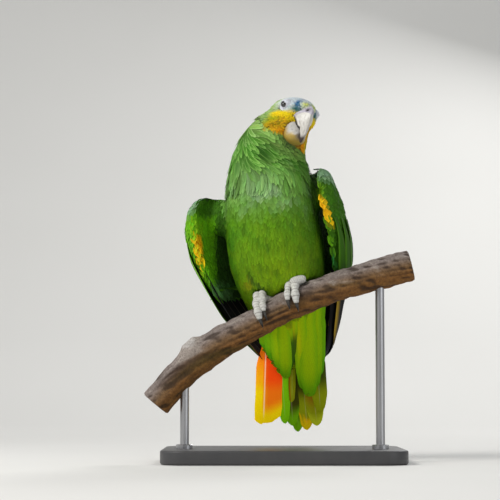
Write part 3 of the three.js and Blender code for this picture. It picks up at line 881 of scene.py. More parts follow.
def face_colours(places, rim, middle):
    """Lays the markings of the face over colours that are already there."""
    f, l, u = of_head(places)
    a = np.abs(l)
    near = smoothstep(45, 36, from_skull(f, l, u))

    on_top = smoothstep(-14, 2, u)
    below = cheek_share(f, l, u)
    mottle = 0.5 + 0.5 * drift(places, 2.6, 5)
    mottled_chin = smoothstep(0.5, 0.9, mottle) * smoothstep(-10, -14, u) * smoothstep(10, 4, f)
    round_eye = hill(np.linalg.norm([f - 0.5, a - 17, u + 0.4], axis=0), 7.5)
    length, width = 0.8 * (u - 4.5) - 0.6 * (f - 11), 0.8 * (f - 11) + 0.6 * (u - 4.5)

    def blob(*away):
        return hill(np.linalg.norm(away, axis=0), 1)

    spots = (
        ("nape", smoothstep(-22, -6, f) * 0.6),
        ("ear", on_top * smoothstep(-22, -8, f)),
        ("crown", smoothstep(-4, 5, u) * smoothstep(-19, -7, f)),
        ("crown_blue", 0.35 * hill(np.hypot(f - 2, u - 12), 7) * smoothstep(16, 6, a)),
        ("cheek", below),
        ("cheek_ochre", (0.3 + 0.6 * mottle) * below * smoothstep(-9.5, -14, u) * smoothstep(-6, 2, f)),
        ("cheek_green", 0.7 * below * mottled_chin),
        ("cheek_green", 0.75 * below * smoothstep(-10, -15, u) * smoothstep(4, -8, f)),
        ("cheek_ochre", 0.5 * below * hill((f - 2) / 6, 1) * hill((u + 19) / 7, 1)),
        ("throat", below * smoothstep(-18, -23, u) * smoothstep(5, 9, f)),
        ("bare", 1.2 * round_eye * smoothstep(-6.5, -3, u)),
        ("lore", 1.2 * blob(length / 6.8, width / 2.9, (a - 9.5) / 6)),
        ("teal_lore", 1.1 * blob((f - 12.5) / 4, (u + 0.5) / 2.4, (a - 11) / 5)),
        ("forehead", 1.1 * blob((f - 17) / 3.4, (u - 7) / 3.6, (a - 5) / 3.8)),
    )
    spots = [(hue, share * near) for hue, share in spots]
    return lay_all(rim, spots), lay_all(middle, spots)


# %% Wing colours
def wing_colours(places, normals, name):
    wing = WINGS[name]
    x, _, z = places.T
    lead, trail = wing.lead(z), wing.trail(z)
    back = np.linalg.norm(places[:, :2] - lead, axis=1)
    chord = trail - lead
    outward = unit(np.stack([chord[:, 1], -chord[:, 0]], -1)) * wing.out
    dorsal = (normals[:, :2] * outward).sum(1)
    over = (x - lead[:, 0]) * wing.out
    front = smoothstep(24, 16, back)
    rim = np.tile(HUE["wing"], (len(z), 1))
    if name == "right":
        hollow = smoothstep(0.3, -0.1, dorsal) * smoothstep(-64, -58, x) * smoothstep(60, 50, back)
        rim = lay_all(rim, (
            ("wing_edge", smoothstep(0.0, 0.4, dorsal) * smoothstep(60, 14, back)),
            ("under_wing", smoothstep(0.3, -0.1, dorsal) * smoothstep(-59, -63, x) * smoothstep(224, 216, z)),
            ("shade", hollow * smoothstep(232, 196, z)),
            ("teal", 1.2 * hill((z - 155) / 7, 1) * hill((x + 56) / 8, 1) * smoothstep(0.4, 0, dorsal)),
            ("shade", 0.8 * hill((x + 75.5) / 1.6, 1) * hill((z - 174) / 7, 1) * front),
        ))
        centre = np.interp(z, [170, 179, 190, 209], [2.4, 1.0, -0.2, -3.0])
        half = np.interp(z, [166, 180, 194, 209], [0.6, 1.8, 2.9, 2.4])
        low, high, warm_at, top = 170, 204, 195, 220
    else:
        rim = lay_all(rim, (
            ("wing_edge", smoothstep(7, 4, over) * front * smoothstep(250, 240, z)),
            ("shade", smoothstep(-0.2, -0.5, dorsal) * smoothstep(8, 14, back)),
            ("turquoise", 0.9 * hill((z - 175) / 8, 1) * smoothstep(9, 3, back)),
        ))
        centre = np.interp(z, [209, 224, 240], [8.5, 6.0, 2.0])
        half = np.interp(z, [209, 224, 240], [1.2, 2.6, 0.9])
        low, high, warm_at, top = 210, 235, 226, 250
    wrist = smoothstep(top - 4, top + 8, z) * smoothstep(-0.6, 0.2, dorsal) * smoothstep(-7, 0, over)
    rim = lay(rim, "wrist", 0.85 * wrist)
    middle = rim * 0.9
    scallops = smoothstep(half + 5, half + 1, np.abs(over - centre)) * front
    scallops = scallops * smoothstep(high - 3, high + 3, z) * smoothstep(high + 17, high + 9, z)
    rim = lay(rim, "patch_rim", scallops)
    patch = smoothstep(half + 1.2, half - 0.8, np.abs(over - centre)) * front
    patch = patch * smoothstep(low - 3, low + 3, z) * smoothstep(high + 2, high - 2, z)
    rim, middle = lay(rim, "patch", patch), lay(middle, "patch", patch)
    warm = 0.8 * patch * hill((z - warm_at) / 11, 1)
    return lay(rim, "patch_orange", warm * 0.6), lay(middle, "patch_orange", warm)


# %% All the markings together
def plumage(places, normals, parts):
    """Rim and middle colours, as light, for places on the bird."""
    rim, middle = neck_colours(places)
    rim, middle = face_colours(places, rim, middle)
    for name in WINGS:
        here = parts == PARTS.index("wing_" + name)
        if here.any():
            rim[here], middle[here] = wing_colours(places[here], normals[here], name)
    return rim, middle


print("markings ready:", len(HUE), "hues")

# %% [markdown]
# ## One small feather
#
# A body feather is a thin, slightly cupped leaf with a rounded, frayed end. Two small
# grids, one for the upper face and one for the lower, are welded along their rims into
# a closed leaf of sixty faces. The leaf is only a pattern. Each of its points knows its
# row, its column and its face, and these numbers put it in place on every real feather.

# %% The leaf pattern
def leaf_pattern(rows, columns):
    """Rows, columns and faces (1 upper, -1 lower, 0 rim) of a closed leaf, with its quads."""
    bm = bmesh.new()
    for face_side in (1, -1):
        made = bmesh.ops.create_grid(bm, x_segments=columns - 1, y_segments=rows - 1, size=1)
        for vert in made["verts"]:
            inner = abs(vert.co.x) < 0.999 and abs(vert.co.y) < 0.999
            vert.co.z = face_side if inner else 0
        if face_side < 0:
            faces = {f for v in made["verts"] for f in v.link_faces}
            bmesh.ops.reverse_faces(bm, faces=list(faces))
    bmesh.ops.remove_doubles(bm, verts=bm.verts, dist=1e-4)
    bm.verts.index_update()
    spots = np.array([v.co for v in bm.verts])
    quads = np.array([[v.index for v in f.verts] for f in bm.faces])
    bm.free()
    column = np.rint((spots[:, 0] + 1) / 2 * (columns - 1)).astype(int)
    row = np.rint((spots[:, 1] + 1) / 2 * (rows - 1)).astype(int)
    return {"row": row, "column": column, "face": np.rint(spots[:, 2]), "quads": quads,
            "rows": rows, "columns": columns}


LEAF = leaf_pattern(6, 7)
print("leaf:", len(LEAF["row"]), "points,", len(LEAF["quads"]), "faces")


# %% Many leaves as one mesh
def mesh_of_leaves(name, pattern, places, normals, thickness, rim, middle, bake, bake_size):
    """places: (leaves, rows, columns, 3). rim and middle: colours per leaf or per point."""
    count = len(places)
    row, column, face = pattern["row"], pattern["column"], pattern["face"]
    per = len(row)
    thick = np.broadcast_to(thickness, (count,))[:, None, None] / 2
    spots = places[:, row, column] + normals[:, row, column] * (face[None, :, None] * thick)
    quads = (pattern["quads"][None] + np.arange(count)[:, None, None] * per).reshape(-1, 4)
    mesh = bpy.data.meshes.new(name)
    mesh.vertices.add(count * per)
    mesh.vertices.foreach_set("co", (spots * MM).astype(np.float32).ravel())
    mesh.loops.add(quads.size)
    mesh.loops.foreach_set("vertex_index", quads.ravel().astype(np.int32))
    mesh.polygons.add(len(quads))
    mesh.polygons.foreach_set("loop_start", np.arange(0, quads.size, 4, dtype=np.int32))
    mesh.update(calc_edges=True)
    mesh.polygons.foreach_set("use_smooth", np.ones(len(quads), bool))
    on_rim = (face == 0)[numbers_of(mesh.edges, "vertices", 2, np.int32) % per].all(1)
    mesh.attributes.new("sharp_edge", "BOOLEAN", "EDGE").data.foreach_set("value", on_rim)
    across = column / (pattern["columns"] - 1)
    along = row / (pattern["rows"] - 1)
    if rim.ndim == 2:
        edge = np.maximum(smoothstep(0.5, 1.0, np.abs(across - 0.5) * 2), smoothstep(0.7, 1.0, along))
        edge = edge[None, :, None]
        colours = middle[:, None] * (1 - edge) + rim[:, None] * edge
        colours = colours * (0.78 + 0.22 * smoothstep(0, 0.6, along))[None, :, None]
    else:
        colours = rim
    paint_points(mesh, "Plumage", colours.reshape(-1, 3))
    vane = mesh.uv_layers.new(name="Vane")
    corner = np.c_[across, along][pattern["quads"].ravel()]
    vane.data.foreach_set("uv", np.tile(corner, (count, 1)).astype(np.float32).ravel())
    patch = mesh.uv_layers.new(name="OFBake")
    size = np.asarray(bake_size, float)
    spread = bake[:, None] + (corner[None] - 0.5) * size
    patch.data.foreach_set("uv", spread.astype(np.float32).ravel())
    return mesh


# %% [markdown]
# ## The skin becomes a piece
#
# The skin takes the markings as vertex colours, a little darker than the feathers, and
# fine goose-flesh from a bump. Its own unwrap also gives every feather root its place on
# the bake map.

# %% Skin paint
skin_paint = Paint("skin_paint", Roughness=0.75, Specular_IOR_Level=0.3)
skin_paint.bump(skin_paint.cells(0.9, "F1"), 0.15, 0.6)
skin_material = skin_paint.out(
    Base_Color=skin_paint.clouded(skin_paint.noise(3, 4), (120, 120, 110), "Plumage")
)

# %% Skin piece
skin_mesh = bpy.data.meshes.new("skin")
skin_bm.to_mesh(skin_mesh)
skin_bm.free()
skin_mesh.polygons.foreach_set("use_smooth", [True] * len(skin_mesh.polygons))
skin_places, skin_normals = places_of(skin_mesh), normals_of(skin_mesh)
skin_parts = nearest_parts(skin_places)
skin_rim, skin_middle = plumage(skin_places, skin_normals, skin_parts)
skin_shade = np.where(skin_parts == PARTS.index("bare"), 0.5, 0.55)[:, None]
paint_points(skin_mesh, "Plumage", (skin_rim + skin_middle) / 2 * skin_shade)
skin = ride_mesh("skin", skin_mesh, skin_material, FLESH)
bpy.ops.object.select_all(action="DESELECT")
skin.select_set(True)
bpy.context.view_layer.objects.active = skin
skin_mesh.uv_layers.new(name="OFBake")
bpy.ops.object.mode_set(mode="EDIT")
bpy.ops.mesh.select_all(action="SELECT")
bpy.ops.uv.smart_project(angle_limit=math.radians(66), island_margin=0.001)
bpy.ops.object.mode_set(mode="OBJECT")
print("skin unwrapped", round(time.time() - started, 1), "s")

# %% Skin as numbers
skin_quads = numbers_of(skin_mesh.loops, "vertex_index", 1, np.int32)
skin_uv = numbers_of(skin_mesh.uv_layers["OFBake"].data, "uv", 2)
face_start = numbers_of(skin_mesh.polygons, "loop_start", 1, np.int32)
face_size = numbers_of(skin_mesh.polygons, "loop_total", 1, np.int32)
corners = skin_quads[face_start[:, None] + np.minimum(np.arange(4), face_size[:, None] - 1)]
face_uv = skin_uv[face_start]
face_normal = unit(skin_normals[corners].mean(1))
skin_hull = BVHTree.FromPolygons(skin_places.tolist(), corners.tolist())


def on_skin(points):
    """The nearest places on the skin, with smooth normals, and the faces they are on."""
    found = [skin_hull.find_nearest(p)[:3:2] for p in points.tolist()]
    places = np.array([f[0] for f in found])
    faces = np.array([f[1] for f in found])
    return places, face_normal[faces], faces


print("skin faces", len(corners))

# %% [markdown]
# ## The feather coat
#
# Feather roots are scattered over the skin and thinned until each keeps its own room:
# a millimetre on the face, two to four on the body. Then every feather is walked
# down the lie of the coat in short steps, always touching down on the skin again, so
# that it bends round the body. Its root is low and its tip high, which is what makes
# the upper feather lie over the lower one.

# %% How big the feathers are
SIZES = {
    # room, length, width, tip height, fray
    "breast": [3.4, 13.0, 10.5, 0.6, 0.35],
    "belly": [2.1, 11.5, 3.2, 0.75, 1.5],
    "thigh": [2.1, 9.0, 3.6, 1.0, 1.2],
    "collar": [2.3, 21.0, 3.4, 1.5, 0.8],
    "nape": [2.0, 8.5, 4.4, 1.2, 0.6],
    "crown": [1.35, 4.6, 2.8, 0.7, 0.4],
    "face": [1.1, 3.6, 2.0, 0.5, 0.4],
    "lesser": [2.6, 9.5, 6.5, 1.0, 0.2],
    "lower": [3.6, 17.0, 9.5, 1.0, 0.3],
    "coverts": [2.6, 30.0, 4.0, 0.35, 0.6],
}
NO_DROP = 99  # millimetres, for feathers that hang over no hem
bare_nodes = ["eye_right", "eye_left", "foot_right", "foot_left"]
bare_trees = horn_trees + [tree_of(solid_copy(node)) for node in bare_nodes]

# The hem: how low the two lobes of tail coverts reach at each place across.
HEM_X = [-22, -14, -8, -2.7, 2.7, 7, 11, 16, 24.3, 29, 34]
HEM_Z = [120, 113, 109, 104, 102, 112, 114, 104, 96, 97, 101]


def coat_sizes(places, parts):
    x, y, z = places.T
    f, l, u = of_head(places)
    size = np.tile(SIZES["breast"], (len(z), 1))

    def toward(name, share):
        nonlocal size
        share = np.clip(share, 0, 1)[:, None]
        size = size * (1 - share) + np.array(SIZES[name]) * share

    skull = from_skull(f, l, u)
    on_head = (parts == PARTS.index("head")) * 1.0
    wings = np.isin(parts, [PARTS.index("wing_right"), PARTS.index("wing_left")])
    on_wing = wings * 1.0
    for name, share in (
        ("belly", smoothstep(236, 205, z)),
        ("collar", smoothstep(246, 258, z) * smoothstep(30, 0, y)),
        ("nape", smoothstep(280, 292, z) * smoothstep(40, 32, skull)),
        ("crown", on_head * smoothstep(-16, -6, f)),
        ("face", on_head * smoothstep(-14, -4, f) * smoothstep(7, 1, u) * smoothstep(-24, -18, u)),
        ("face", 0.8 * cheek_share(f, l, u) * smoothstep(45, 36, skull)),
        ("thigh", (parts == PARTS.index("thigh")) * 1.0),
        ("lesser", on_wing),
        ("lower", on_wing * smoothstep(205, 160, z)),
    ):
        toward(name, share)
    at_edge = smoothstep(-68, -76, x) * on_wing * smoothstep(225, 205, z) * smoothstep(160, 175, z)
    size[:, 3] += 1.1 * at_edge
    size[:, 1] *= 1 - 0.45 * smoothstep(5, 30, x) * (1 - on_wing) * smoothstep(246, 258, z)
    hanging = (parts == PARTS.index("coverts")) | ((z < 122) & (y < 45) & ~wings)
    toward("coverts", hanging * 1.0)
    room = np.min([away_from(tree, places) for tree in bare_trees], axis=0)
    shortest = 1.6 + 0.12 * smoothstep(-15, -11, u)
    size[:, 1] = np.minimum(size[:, 1], shortest + np.maximum(room - 1.2, 0))
    size[:, 3] += 2.2 * hill(np.linalg.norm([f - 10, l - 13, u + 9], axis=0) / 8, 1)
    ruff = hill(np.linalg.norm([(x + 8) / 14, (z - 314) / 12], axis=0), 1)
    ruff = ruff * smoothstep(-34, -20, y) * smoothstep(-18, -6, x)
    size[:, 3] += 1.9 * ruff
    size[:, 1] += 2.5 * ruff
    drop = np.where(hanging, z - np.interp(x, HEM_X, HEM_Z), NO_DROP)
    under_lobe = (x > 6) & (x < 31) & (z < 128) & (y < 31) & ~wings
    size[:, 1] = np.where(under_lobe, 0, np.minimum(size[:, 1], np.maximum(drop + 1, 3)))
    return size


# %% Scattering the roots
chance = np.random.default_rng(11)


def scattered(count):
    """Random places all over the skin, even by area."""
    a, b, c, d = (skin_places[corners[:, k]] for k in range(4))
    area = np.linalg.norm(np.cross(c - a, d - b), axis=1)
    pick = chance.choice(len(corners), count, p=area / area.sum())
    s, t = chance.random((2, count, 1))
    quad = [skin_places[corners[pick, k]] for k in range(4)]
    return (quad[0] * (1 - s) + quad[1] * s) * (1 - t) + (quad[3] * (1 - s) + quad[2] * s) * t, pick


def thinned(places, spacing):
    """Keeps places in turn and drops the neighbours that crowd each one."""
    tree = KDTree(len(places))
    for k, place in enumerate(places.tolist()):
        tree.insert(place, k)
    tree.balance()
    alive = np.ones(len(places), bool)
    kept = []
    for k in range(len(places)):
        if alive[k]:
            kept.append(k)
            crowd = [hit[1] for hit in tree.find_range(places[k].tolist(), spacing[k])]
            alive[crowd] = False
    return np.array(kept)


TRIES, SHORTEST_KEPT = 150000, 1.65
EYE_CLEAR, FAR_FROM_EYE = 5.6, 99
roots, root_faces = scattered(TRIES)
root_parts = skin_parts[corners[root_faces, 0]]
f, l, u = of_head(roots)
eye_room = np.hypot(f + 0.6, u - 0.4) + np.where(np.abs(l) < 9, FAR_FROM_EYE, 0)
under_blades = (root_parts == PARTS.index("wing_left")) & (face_normal[root_faces][:, 0] > 0.1)
under_blades &= (roots[:, 2] < 186) & (roots[:, 1] > 12)
keep = (root_parts != PARTS.index("bare")) & (eye_room > EYE_CLEAR) & ~under_blades
roots, root_faces, root_parts = roots[keep], root_faces[keep], root_parts[keep]
sizes = coat_sizes(roots, root_parts)
kept = thinned(roots, sizes[:, 0])
kept = kept[sizes[kept, 1] > SHORTEST_KEPT]
roots, root_faces, root_parts, sizes = roots[kept], root_faces[kept], root_parts[kept], sizes[kept]
print("feathers", len(roots), "after", round(time.time() - started, 1), "s")

# %% Locks
# Feathers hold together in locks. Each lock leans and lifts as one, most of all on the
# collar, where the turned neck pushes the plumage into ridges.
def locks(places, parts, apart, long):
    """Numbers the lock of each place: narrow across the lie, drawn out along it."""
    lie = lie_at(places, parts)
    seeds = thinned(places, np.full(len(places), apart))
    across = places[:, None, :] - places[seeds][None, :, :]
    along = (across * lie[:, None, :]).sum(-1)
    away = (across**2).sum(-1) - along**2 * (1 - 1 / long**2)
    return away.argmin(1), len(seeds)


lock_lift, lock_swing, lock_tint = np.ones(len(roots)), np.zeros(len(roots)), np.zeros(len(roots))
front_neck = smoothstep(244, 256, roots[:, 2]) * (root_parts != PARTS.index("head"))
front_neck = front_neck * (root_parts < PARTS.index("wing_right"))
collar_side = np.flatnonzero(front_neck > 0.05)
rest_side = np.flatnonzero(front_neck <= 0.05)
for some, apart, long, lift, swing, shade in (
    (collar_side, 5.5, 4.0, 0.75, 0.12, 0.16), (rest_side, 8.0, 1.2, 0.15, 0.05, 0.07),
):
    number, total = locks(roots[some], root_parts[some], apart, long)
    strength = np.maximum(front_neck[some], 0.3)
    lock_lift[some] = np.exp(chance.normal(0, lift, total)[number] * strength)
    lock_lift[some] *= 1 - 0.35 * strength * smoothstep(276, 290, roots[some, 2])
    lock_swing[some] = chance.normal(0, swing, total)[number] * strength
    lock_tint[some] = chance.normal(0, shade, total)[number] * strength
print("locks ready", round(time.time() - started, 1), "s")

# %% Walking each feather down the coat
STEP_TURN = math.cos(math.radians(38))


def touch_down(points, normals, reach):
    """Places and normals on the skin, or straight on where the skin falls away."""
    places, found, _ = on_skin(points)
    far = np.linalg.norm(places - points, axis=1) > reach
    turned = (found * normals).sum(1) < STEP_TURN
    lost = (far | turned)[:, None]
    return np.where(lost, points, places), np.where(lost, normals, unit(found * 0.7 + normals * 0.3))


def walked(roots, faces, parts, sizes):
    """Places and normals (feathers, rows, columns, 3) of all the leaves."""
    count, rows, columns = len(roots), LEAF["rows"], LEAF["columns"]
    _, length, width, lift, fray = sizes.T
    length = length * chance.uniform(0.86, 1.12, count)
    width = width * chance.uniform(0.88, 1.1, count)
    lift = lift * chance.uniform(0.88, 1.12, count) * np.clip(lock_lift, 0.45, 1.9)
    place, normal = roots.copy(), face_normal[faces]
    swing = (chance.normal(0, 0.04 + 0.05 * fray, count) + lock_swing)[:, None]
    spots = np.zeros((count, rows, columns, 3))
    ways = np.zeros((count, rows, columns, 3))
    step = (length / (rows - 1))[:, None]
    for row in range(rows):
        s = row / (rows - 1)
        lie = lie_at(place, parts)
        lie = unit(lie + swing * np.cross(normal, lie))
        way = unit(lie - normal * (lie * normal).sum(1, keepdims=True))
        side = np.cross(normal, way)
        half = width / 2 * (0.5 + 0.5 * math.sin(math.pi * min(1, 0.2 + 0.62 * s))) * (1 - 0.12 * s**5)
        for k, c in enumerate(np.linspace(-1, 1, columns)):
            pull = (1 - math.sqrt(1 - 0.98 * c * c)) * width / length * 0.5 * s**3
            point = place + side * (half * c)[:, None] - way * (length * pull)[:, None]
            high = 0.25 + (lift - 0.25) * s**1.3 - 0.22 * c * c
            if abs(c) == 1:
                edge, turned = touch_down(point, normal, half * 0.75)
            else:
                edge, turned = point, normal
            spots[:, row, k] = edge + turned * high[:, None]
            ways[:, row, k] = turned
        place, normal = touch_down(place + way * step, normal, step[:, 0] * 0.8)
    middle = columns // 2
    for k, c in enumerate(np.linspace(-1, 1, columns)):
        if 0 < abs(c) < 1:
            outer = 0 if c < 0 else columns - 1
            straight = (spots[:, :, outer] + spots[:, :, middle]) / 2
            bow = (ways[:, :, outer] + ways[:, :, middle]) / 2
            sag = 1 - (ways[:, :, outer] * ways[:, :, middle]).sum(-1, keepdims=True)
            spots[:, :, k] = straight + unit(bow) * (0.05 + sag * width[:, None, None] / 8)
            ways[:, :, k] = unit(bow)
    ragged = (fray * 0.5)[:, None, None] * chance.normal(0, 1, (count, columns))[:, :, None]
    spots[:, -1] += ragged * unit(spots[:, -1] - spots[:, -2])
    return spots, ways


leaf_spots, leaf_ways = walked(roots, root_faces, root_parts, sizes)
print("feathers laid after", round(time.time() - started, 1), "s")

# %% [markdown]
# ## Feather paint
#
# The colours come from the markings. The paint adds what a single feather has: a fine
# shaft, barbs that slant from it towards the rim, and a soft satin gloss. Thin tail
# feathers let daylight through, and a little glow of their own colour stands in for it.


# %% Feather paint
def vane_paint(name, barbs, shaft_tone, gloss, glow=0.0, thin=1.0, **settings):
    paint = Paint(name, **settings)
    vane = paint.node("UVMap", {"uv_map": "Vane"})
    split = paint.node("SeparateXYZ", Vector=vane)
    along = Val(paint, split.socket.node.outputs["Y"])
    off = paint.maths("ABSOLUTE", split - 0.5) * 2
    comb = paint.maths("SINE", (along - off * 0.32) * barbs)
    patchy = paint.noise(1.2, 2)
    shade = 0.9 + comb * 0.045 + (patchy - 0.5) * 0.3
    shaft = paint.ramp(off, 0.03 * thin, 0.12 * thin, 1.0, 0.0) * paint.ramp(along, 0.97, 0.8)
    grey = paint.node("CombineColor", Red=shade, Green=shade, Blue=shade)
    lit = paint.mix(1.0, paint.marks("Plumage"), grey, "MULTIPLY")
    lit = paint.mix(shaft * shaft_tone[0], lit, (*shaft_tone[1], 1.0))
    paint.bump(comb * 0.25 + shaft * 0.5 + patchy * 0.6, 0.08, 0.5)
    if glow:
        paint.out(Emission_Color=lit, Emission_Strength=glow)
    return paint.out(Base_Color=lit, Roughness=gloss + patchy * 0.2)


coat_material = vane_paint("coat_paint", 70, (0.1, rgb(30, 40, 10)), 0.6, Specular_IOR_Level=0.18)

# %% Coat pieces
along_way = leaf_spots[:, 3, LEAF["columns"] // 2]
root_rim, root_middle = plumage(along_way, face_normal[root_faces], root_parts)
tint = chance.normal(0, 0.05, (len(roots), 1)) + chance.normal(0, 0.03, (len(roots), 3)) + lock_tint[:, None]
tint = np.exp(tint)
root_rim, root_middle = np.clip(root_rim * tint, 0, 1), np.clip(root_middle * tint, 0, 1)
root_uv = face_uv[root_faces]
COAT_LIMIT = 1600  # feathers in one piece
for part_name in PARTS[:-1]:
    here = np.flatnonzero(root_parts == PARTS.index(part_name))
    here = here[np.argsort(-roots[here, 2])]
    batches = max(1, math.ceil(len(here) / COAT_LIMIT))
    for number, some in enumerate(np.array_split(here, batches)):
        name = f"coat_{part_name}_{number + 1}"
        mesh = mesh_of_leaves(
            name, LEAF, leaf_spots[some], leaf_ways[some], 0.2,
            root_rim[some], root_middle[some], root_uv[some], 0.003,
        )
        ride_mesh(name, mesh, coat_material)
print("coat done after", round(time.time() - started, 1), "s")

# %% [markdown]
# ## Bill and cere
#
# The horn is bone white, scratched and streaked, ochre on the chin and dark at the tip.
# The cere is a soft swollen band over the root, with a nostril on either side.

# %% Bill colours
BONE, HORN, TIP, SLATE = rgb(232, 232, 228), rgb(176, 172, 164), rgb(56, 40, 30), rgb(204, 206, 204)
OCHRE, LILAC, MOUTH_SHADE, SCRATCH = rgb(178, 150, 52), rgb(168, 166, 178), rgb(12, 10, 10), rgb(120, 112, 108)


def blend(colour, other, share):
    share = np.clip(share, 0, 1)[..., None]
    return colour * (1 - share) + np.array(other) * share


def flat(colour, *shape):
    """One colour for every place of an array."""
    return np.broadcast_to(np.array(colour), (*shape, 3))


def horn_colours(t, turn, upper):
    c = np.cos(turn)
    colour = flat(BONE if upper else SLATE, *t.shape)
    streak = 0.5 + 0.5 * np.sin(turn * 9 + 4 * np.sin(t * 7)) * np.sin(t * 23 + 2 * np.sin(turn * 3))
    colour = blend(colour, HORN, 0.35 * streak + 0.3 * smoothstep(0.1, 0.9, t))
    scratch = np.sin(turn * 14 + 2.5 * np.sin(t * 4 + turn)) * np.sin(t * 9 + turn * 5)
    scratch = smoothstep(0.55, 0.95, scratch)
    colour = blend(colour, SCRATCH, 0.5 * scratch * smoothstep(0.15, 0.35, t))
    if upper:
        colour = blend(colour, LILAC, 0.5 * smoothstep(0.24, 0.08, t))
        # The far side of the upper bill is greyer: painted shade.
        colour = blend(colour, HORN, 0.5 * smoothstep(0.1, 0.8, t) * smoothstep(0.0, 0.6, np.sin(turn)))
        colour = blend(colour, TIP, smoothstep(0.74, 0.88, t + 0.16 * smoothstep(0.1, -0.5, c)))
        # A black band along the underside of the upper bill by the gape: painted shade between the two
        # halves.
        gape_shade = smoothstep(-0.44, -0.54, c) * smoothstep(0.02, 0.08, t) * smoothstep(0.72, 0.6, t)
        return blend(colour, MOUTH_SHADE, gape_shade)
    chin = 0.95 * smoothstep(0.35, -0.3, c + 0.12 * np.sin(t * 17)) * smoothstep(1.1, 0.8, t)
    colour = blend(colour, OCHRE, chin)
    colour = blend(colour, OCHRE, 0.4 * hill((t - 0.12) / 0.1, 1) * smoothstep(0.6, 0.0, c))
    # The top rim of the lower bill is painted black: painted shade in the gap under the upper half.
    colour = blend(colour, MOUTH_SHADE, smoothstep(0.86, 0.94, c))
    return blend(colour, TIP, 0.7 * smoothstep(0.8, 1.0, t))


def ring_paint(bm, rings, colours):
    """A mesh-sized list of colours in the order of the tube's points, ends included."""
    flat = rings.reshape(-1, 3)
    tree = KDTree(len(flat))
    for k, place in enumerate(flat.tolist()):
        tree.insert(place, k)
    tree.balance()
    found = [tree.find(vert.co / MM)[1] for vert in bm.verts]
    return colours.reshape(-1, 3)[found]


def painted_tube(name, rings, colours, material, replaces=(), sharp=40):
    bm = tube_of(rings)
    laid = ring_paint(bm, rings, np.broadcast_to(colours, rings.shape))
    piece = finish_piece(name, bm, material, replaces, sharp=sharp)
    paint_points(piece.data, "Marks", laid)
    return piece


# %% Horn, built
horn = Paint("horn", Specular_IOR_Level=0.45, Coat_Roughness=0.25, Coat_Weight=0.12)
horn_grain = horn.noise(1.1, 5)
horn_scratch = horn.noise(0.7, 3, stretch=(1, 1, 0.2))
horn.bump(horn_grain * 0.5 + horn_scratch * 0.8, 0.12, 0.5)
horn_paint = horn.out(
    Base_Color=horn.clouded(horn_grain, (214, 208, 200)), Roughness=0.3 + horn_scratch * 0.25
)
upper_colours = horn_colours(upper_t, upper_turn, True)
lower_colours = horn_colours(lower_t, lower_turn, False)
painted_tube("beak_upper", upper_rings, upper_colours, horn_paint, ["bill_upper"])
painted_tube("beak_lower", lower_rings, lower_colours, horn_paint, ["bill_lower"])

# %% Mouth
MOUTH_STEPS = 20
mouth_line = between([[8, -10], [13, -13], [18, -17.5], [21.5, -21]], np.linspace(0, 1, MOUTH_STEPS))
mouth_points = in_head(mouth_line[:, 0], 0, mouth_line[:, 1])
mouth_radii = 5.8 * np.sqrt(1 - np.linspace(-0.2, 1, MOUTH_STEPS) ** 2) + 0.15
mouth_rings = rings_along(mouth_points, mouth_radii, 24, up=head_way(0.6, 0, 0.8), squash=0.5)
# A nearly black filler between the halves of the bill: painted shade inside the mouth.
mouth_shade = Paint("mouth_shade_paint", Roughness=0.35)
mouth_shade_tone = mouth_shade.mix(mouth_shade.noise(1.5, 3), rgba(14, 12, 13), rgba(34, 28, 28))
mouth_shade.bump(mouth_shade.noise(0.6, 3), 0.15, 0.6)
finish_piece("mouth_shade_filler", tube_of(mouth_rings), mouth_shade.out(Base_Color=mouth_shade_tone))

# %% [markdown]
# The cere band is wide over the top of the bill and fades out at the corner of the
# mouth. Its nostrils are pits with a raised rim, pressed into the band itself.

# %% Cere
CERE_STEPS, CERE_SIDES = 30, 120
cere_share = np.linspace(0, 1, CERE_STEPS)[:, None] * np.ones((1, CERE_SIDES))
cere_turn = np.ones((CERE_STEPS, 1)) * (np.arange(CERE_SIDES) * 2 * math.pi / CERE_SIDES)
cere_end = 0.03 + 0.33 * (0.5 + 0.5 * np.cos(cere_turn)) ** 1.8
cere_t = np.clip(cere_share * cere_end, 0, 1)
cere_round = np.sqrt(np.clip(1 - np.clip((cere_share - 0.7) / 0.3, 0, 1) ** 2, 0, 1))
cere_places = bill_points(UPPER_BILL, cere_t, cere_turn, UPPER_RIDGE)
cf, cl, cu = of_head(cere_places)
NOSTRIL = (22.4, 4.3, 2.2)
PIT_FLOOR = 0.2
from_nostril = [0.8 * (cf - NOSTRIL[0]), 0.7 * (np.abs(cl) - NOSTRIL[1]), cu - NOSTRIL[2]]
to_nostril = np.linalg.norm(from_nostril, axis=0)
swell = 0.75 * cere_round + 0.5 * hill(to_nostril / 3, 1) * cere_round
swell += 0.25 * hill((to_nostril - 2.0) / 0.5, 1) - 2.2 * smoothstep(1.8, 1.0, to_nostril)
swell = np.maximum(swell, PIT_FLOOR)
wrinkle = 0.07 * np.sin(cere_turn * 23 + 2 * np.sin(cere_share * 5)) * cere_round
cere_rings = bill_points(UPPER_BILL, cere_t, cere_turn, UPPER_RIDGE, swell + wrinkle - 0.1)
cere_colour = flat(rgb(204, 200, 214), *cere_turn.shape)
cere_colour = blend(cere_colour, rgb(120, 112, 124), 0.6 * hill((to_nostril - 2.0) / 0.7, 1))
# The nostril pit is painted nearly black: painted shade in the hole.
cere_colour = blend(cere_colour, rgb(34, 22, 30), smoothstep(1.9, 1.3, to_nostril))
soft = Paint("soft_bare_skin", Roughness=0.5, Specular_IOR_Level=0.4)
soft.bump(soft.ramp(soft.cells(0.55), 0.0, 0.25), 0.1, 0.5)
soft_paint = soft.out(Base_Color=soft.clouded(soft.noise(1.4, 4), (196, 190, 190)))
painted_tube("cere_band", cere_rings, cere_colour, soft_paint, ["cere"], sharp=60)

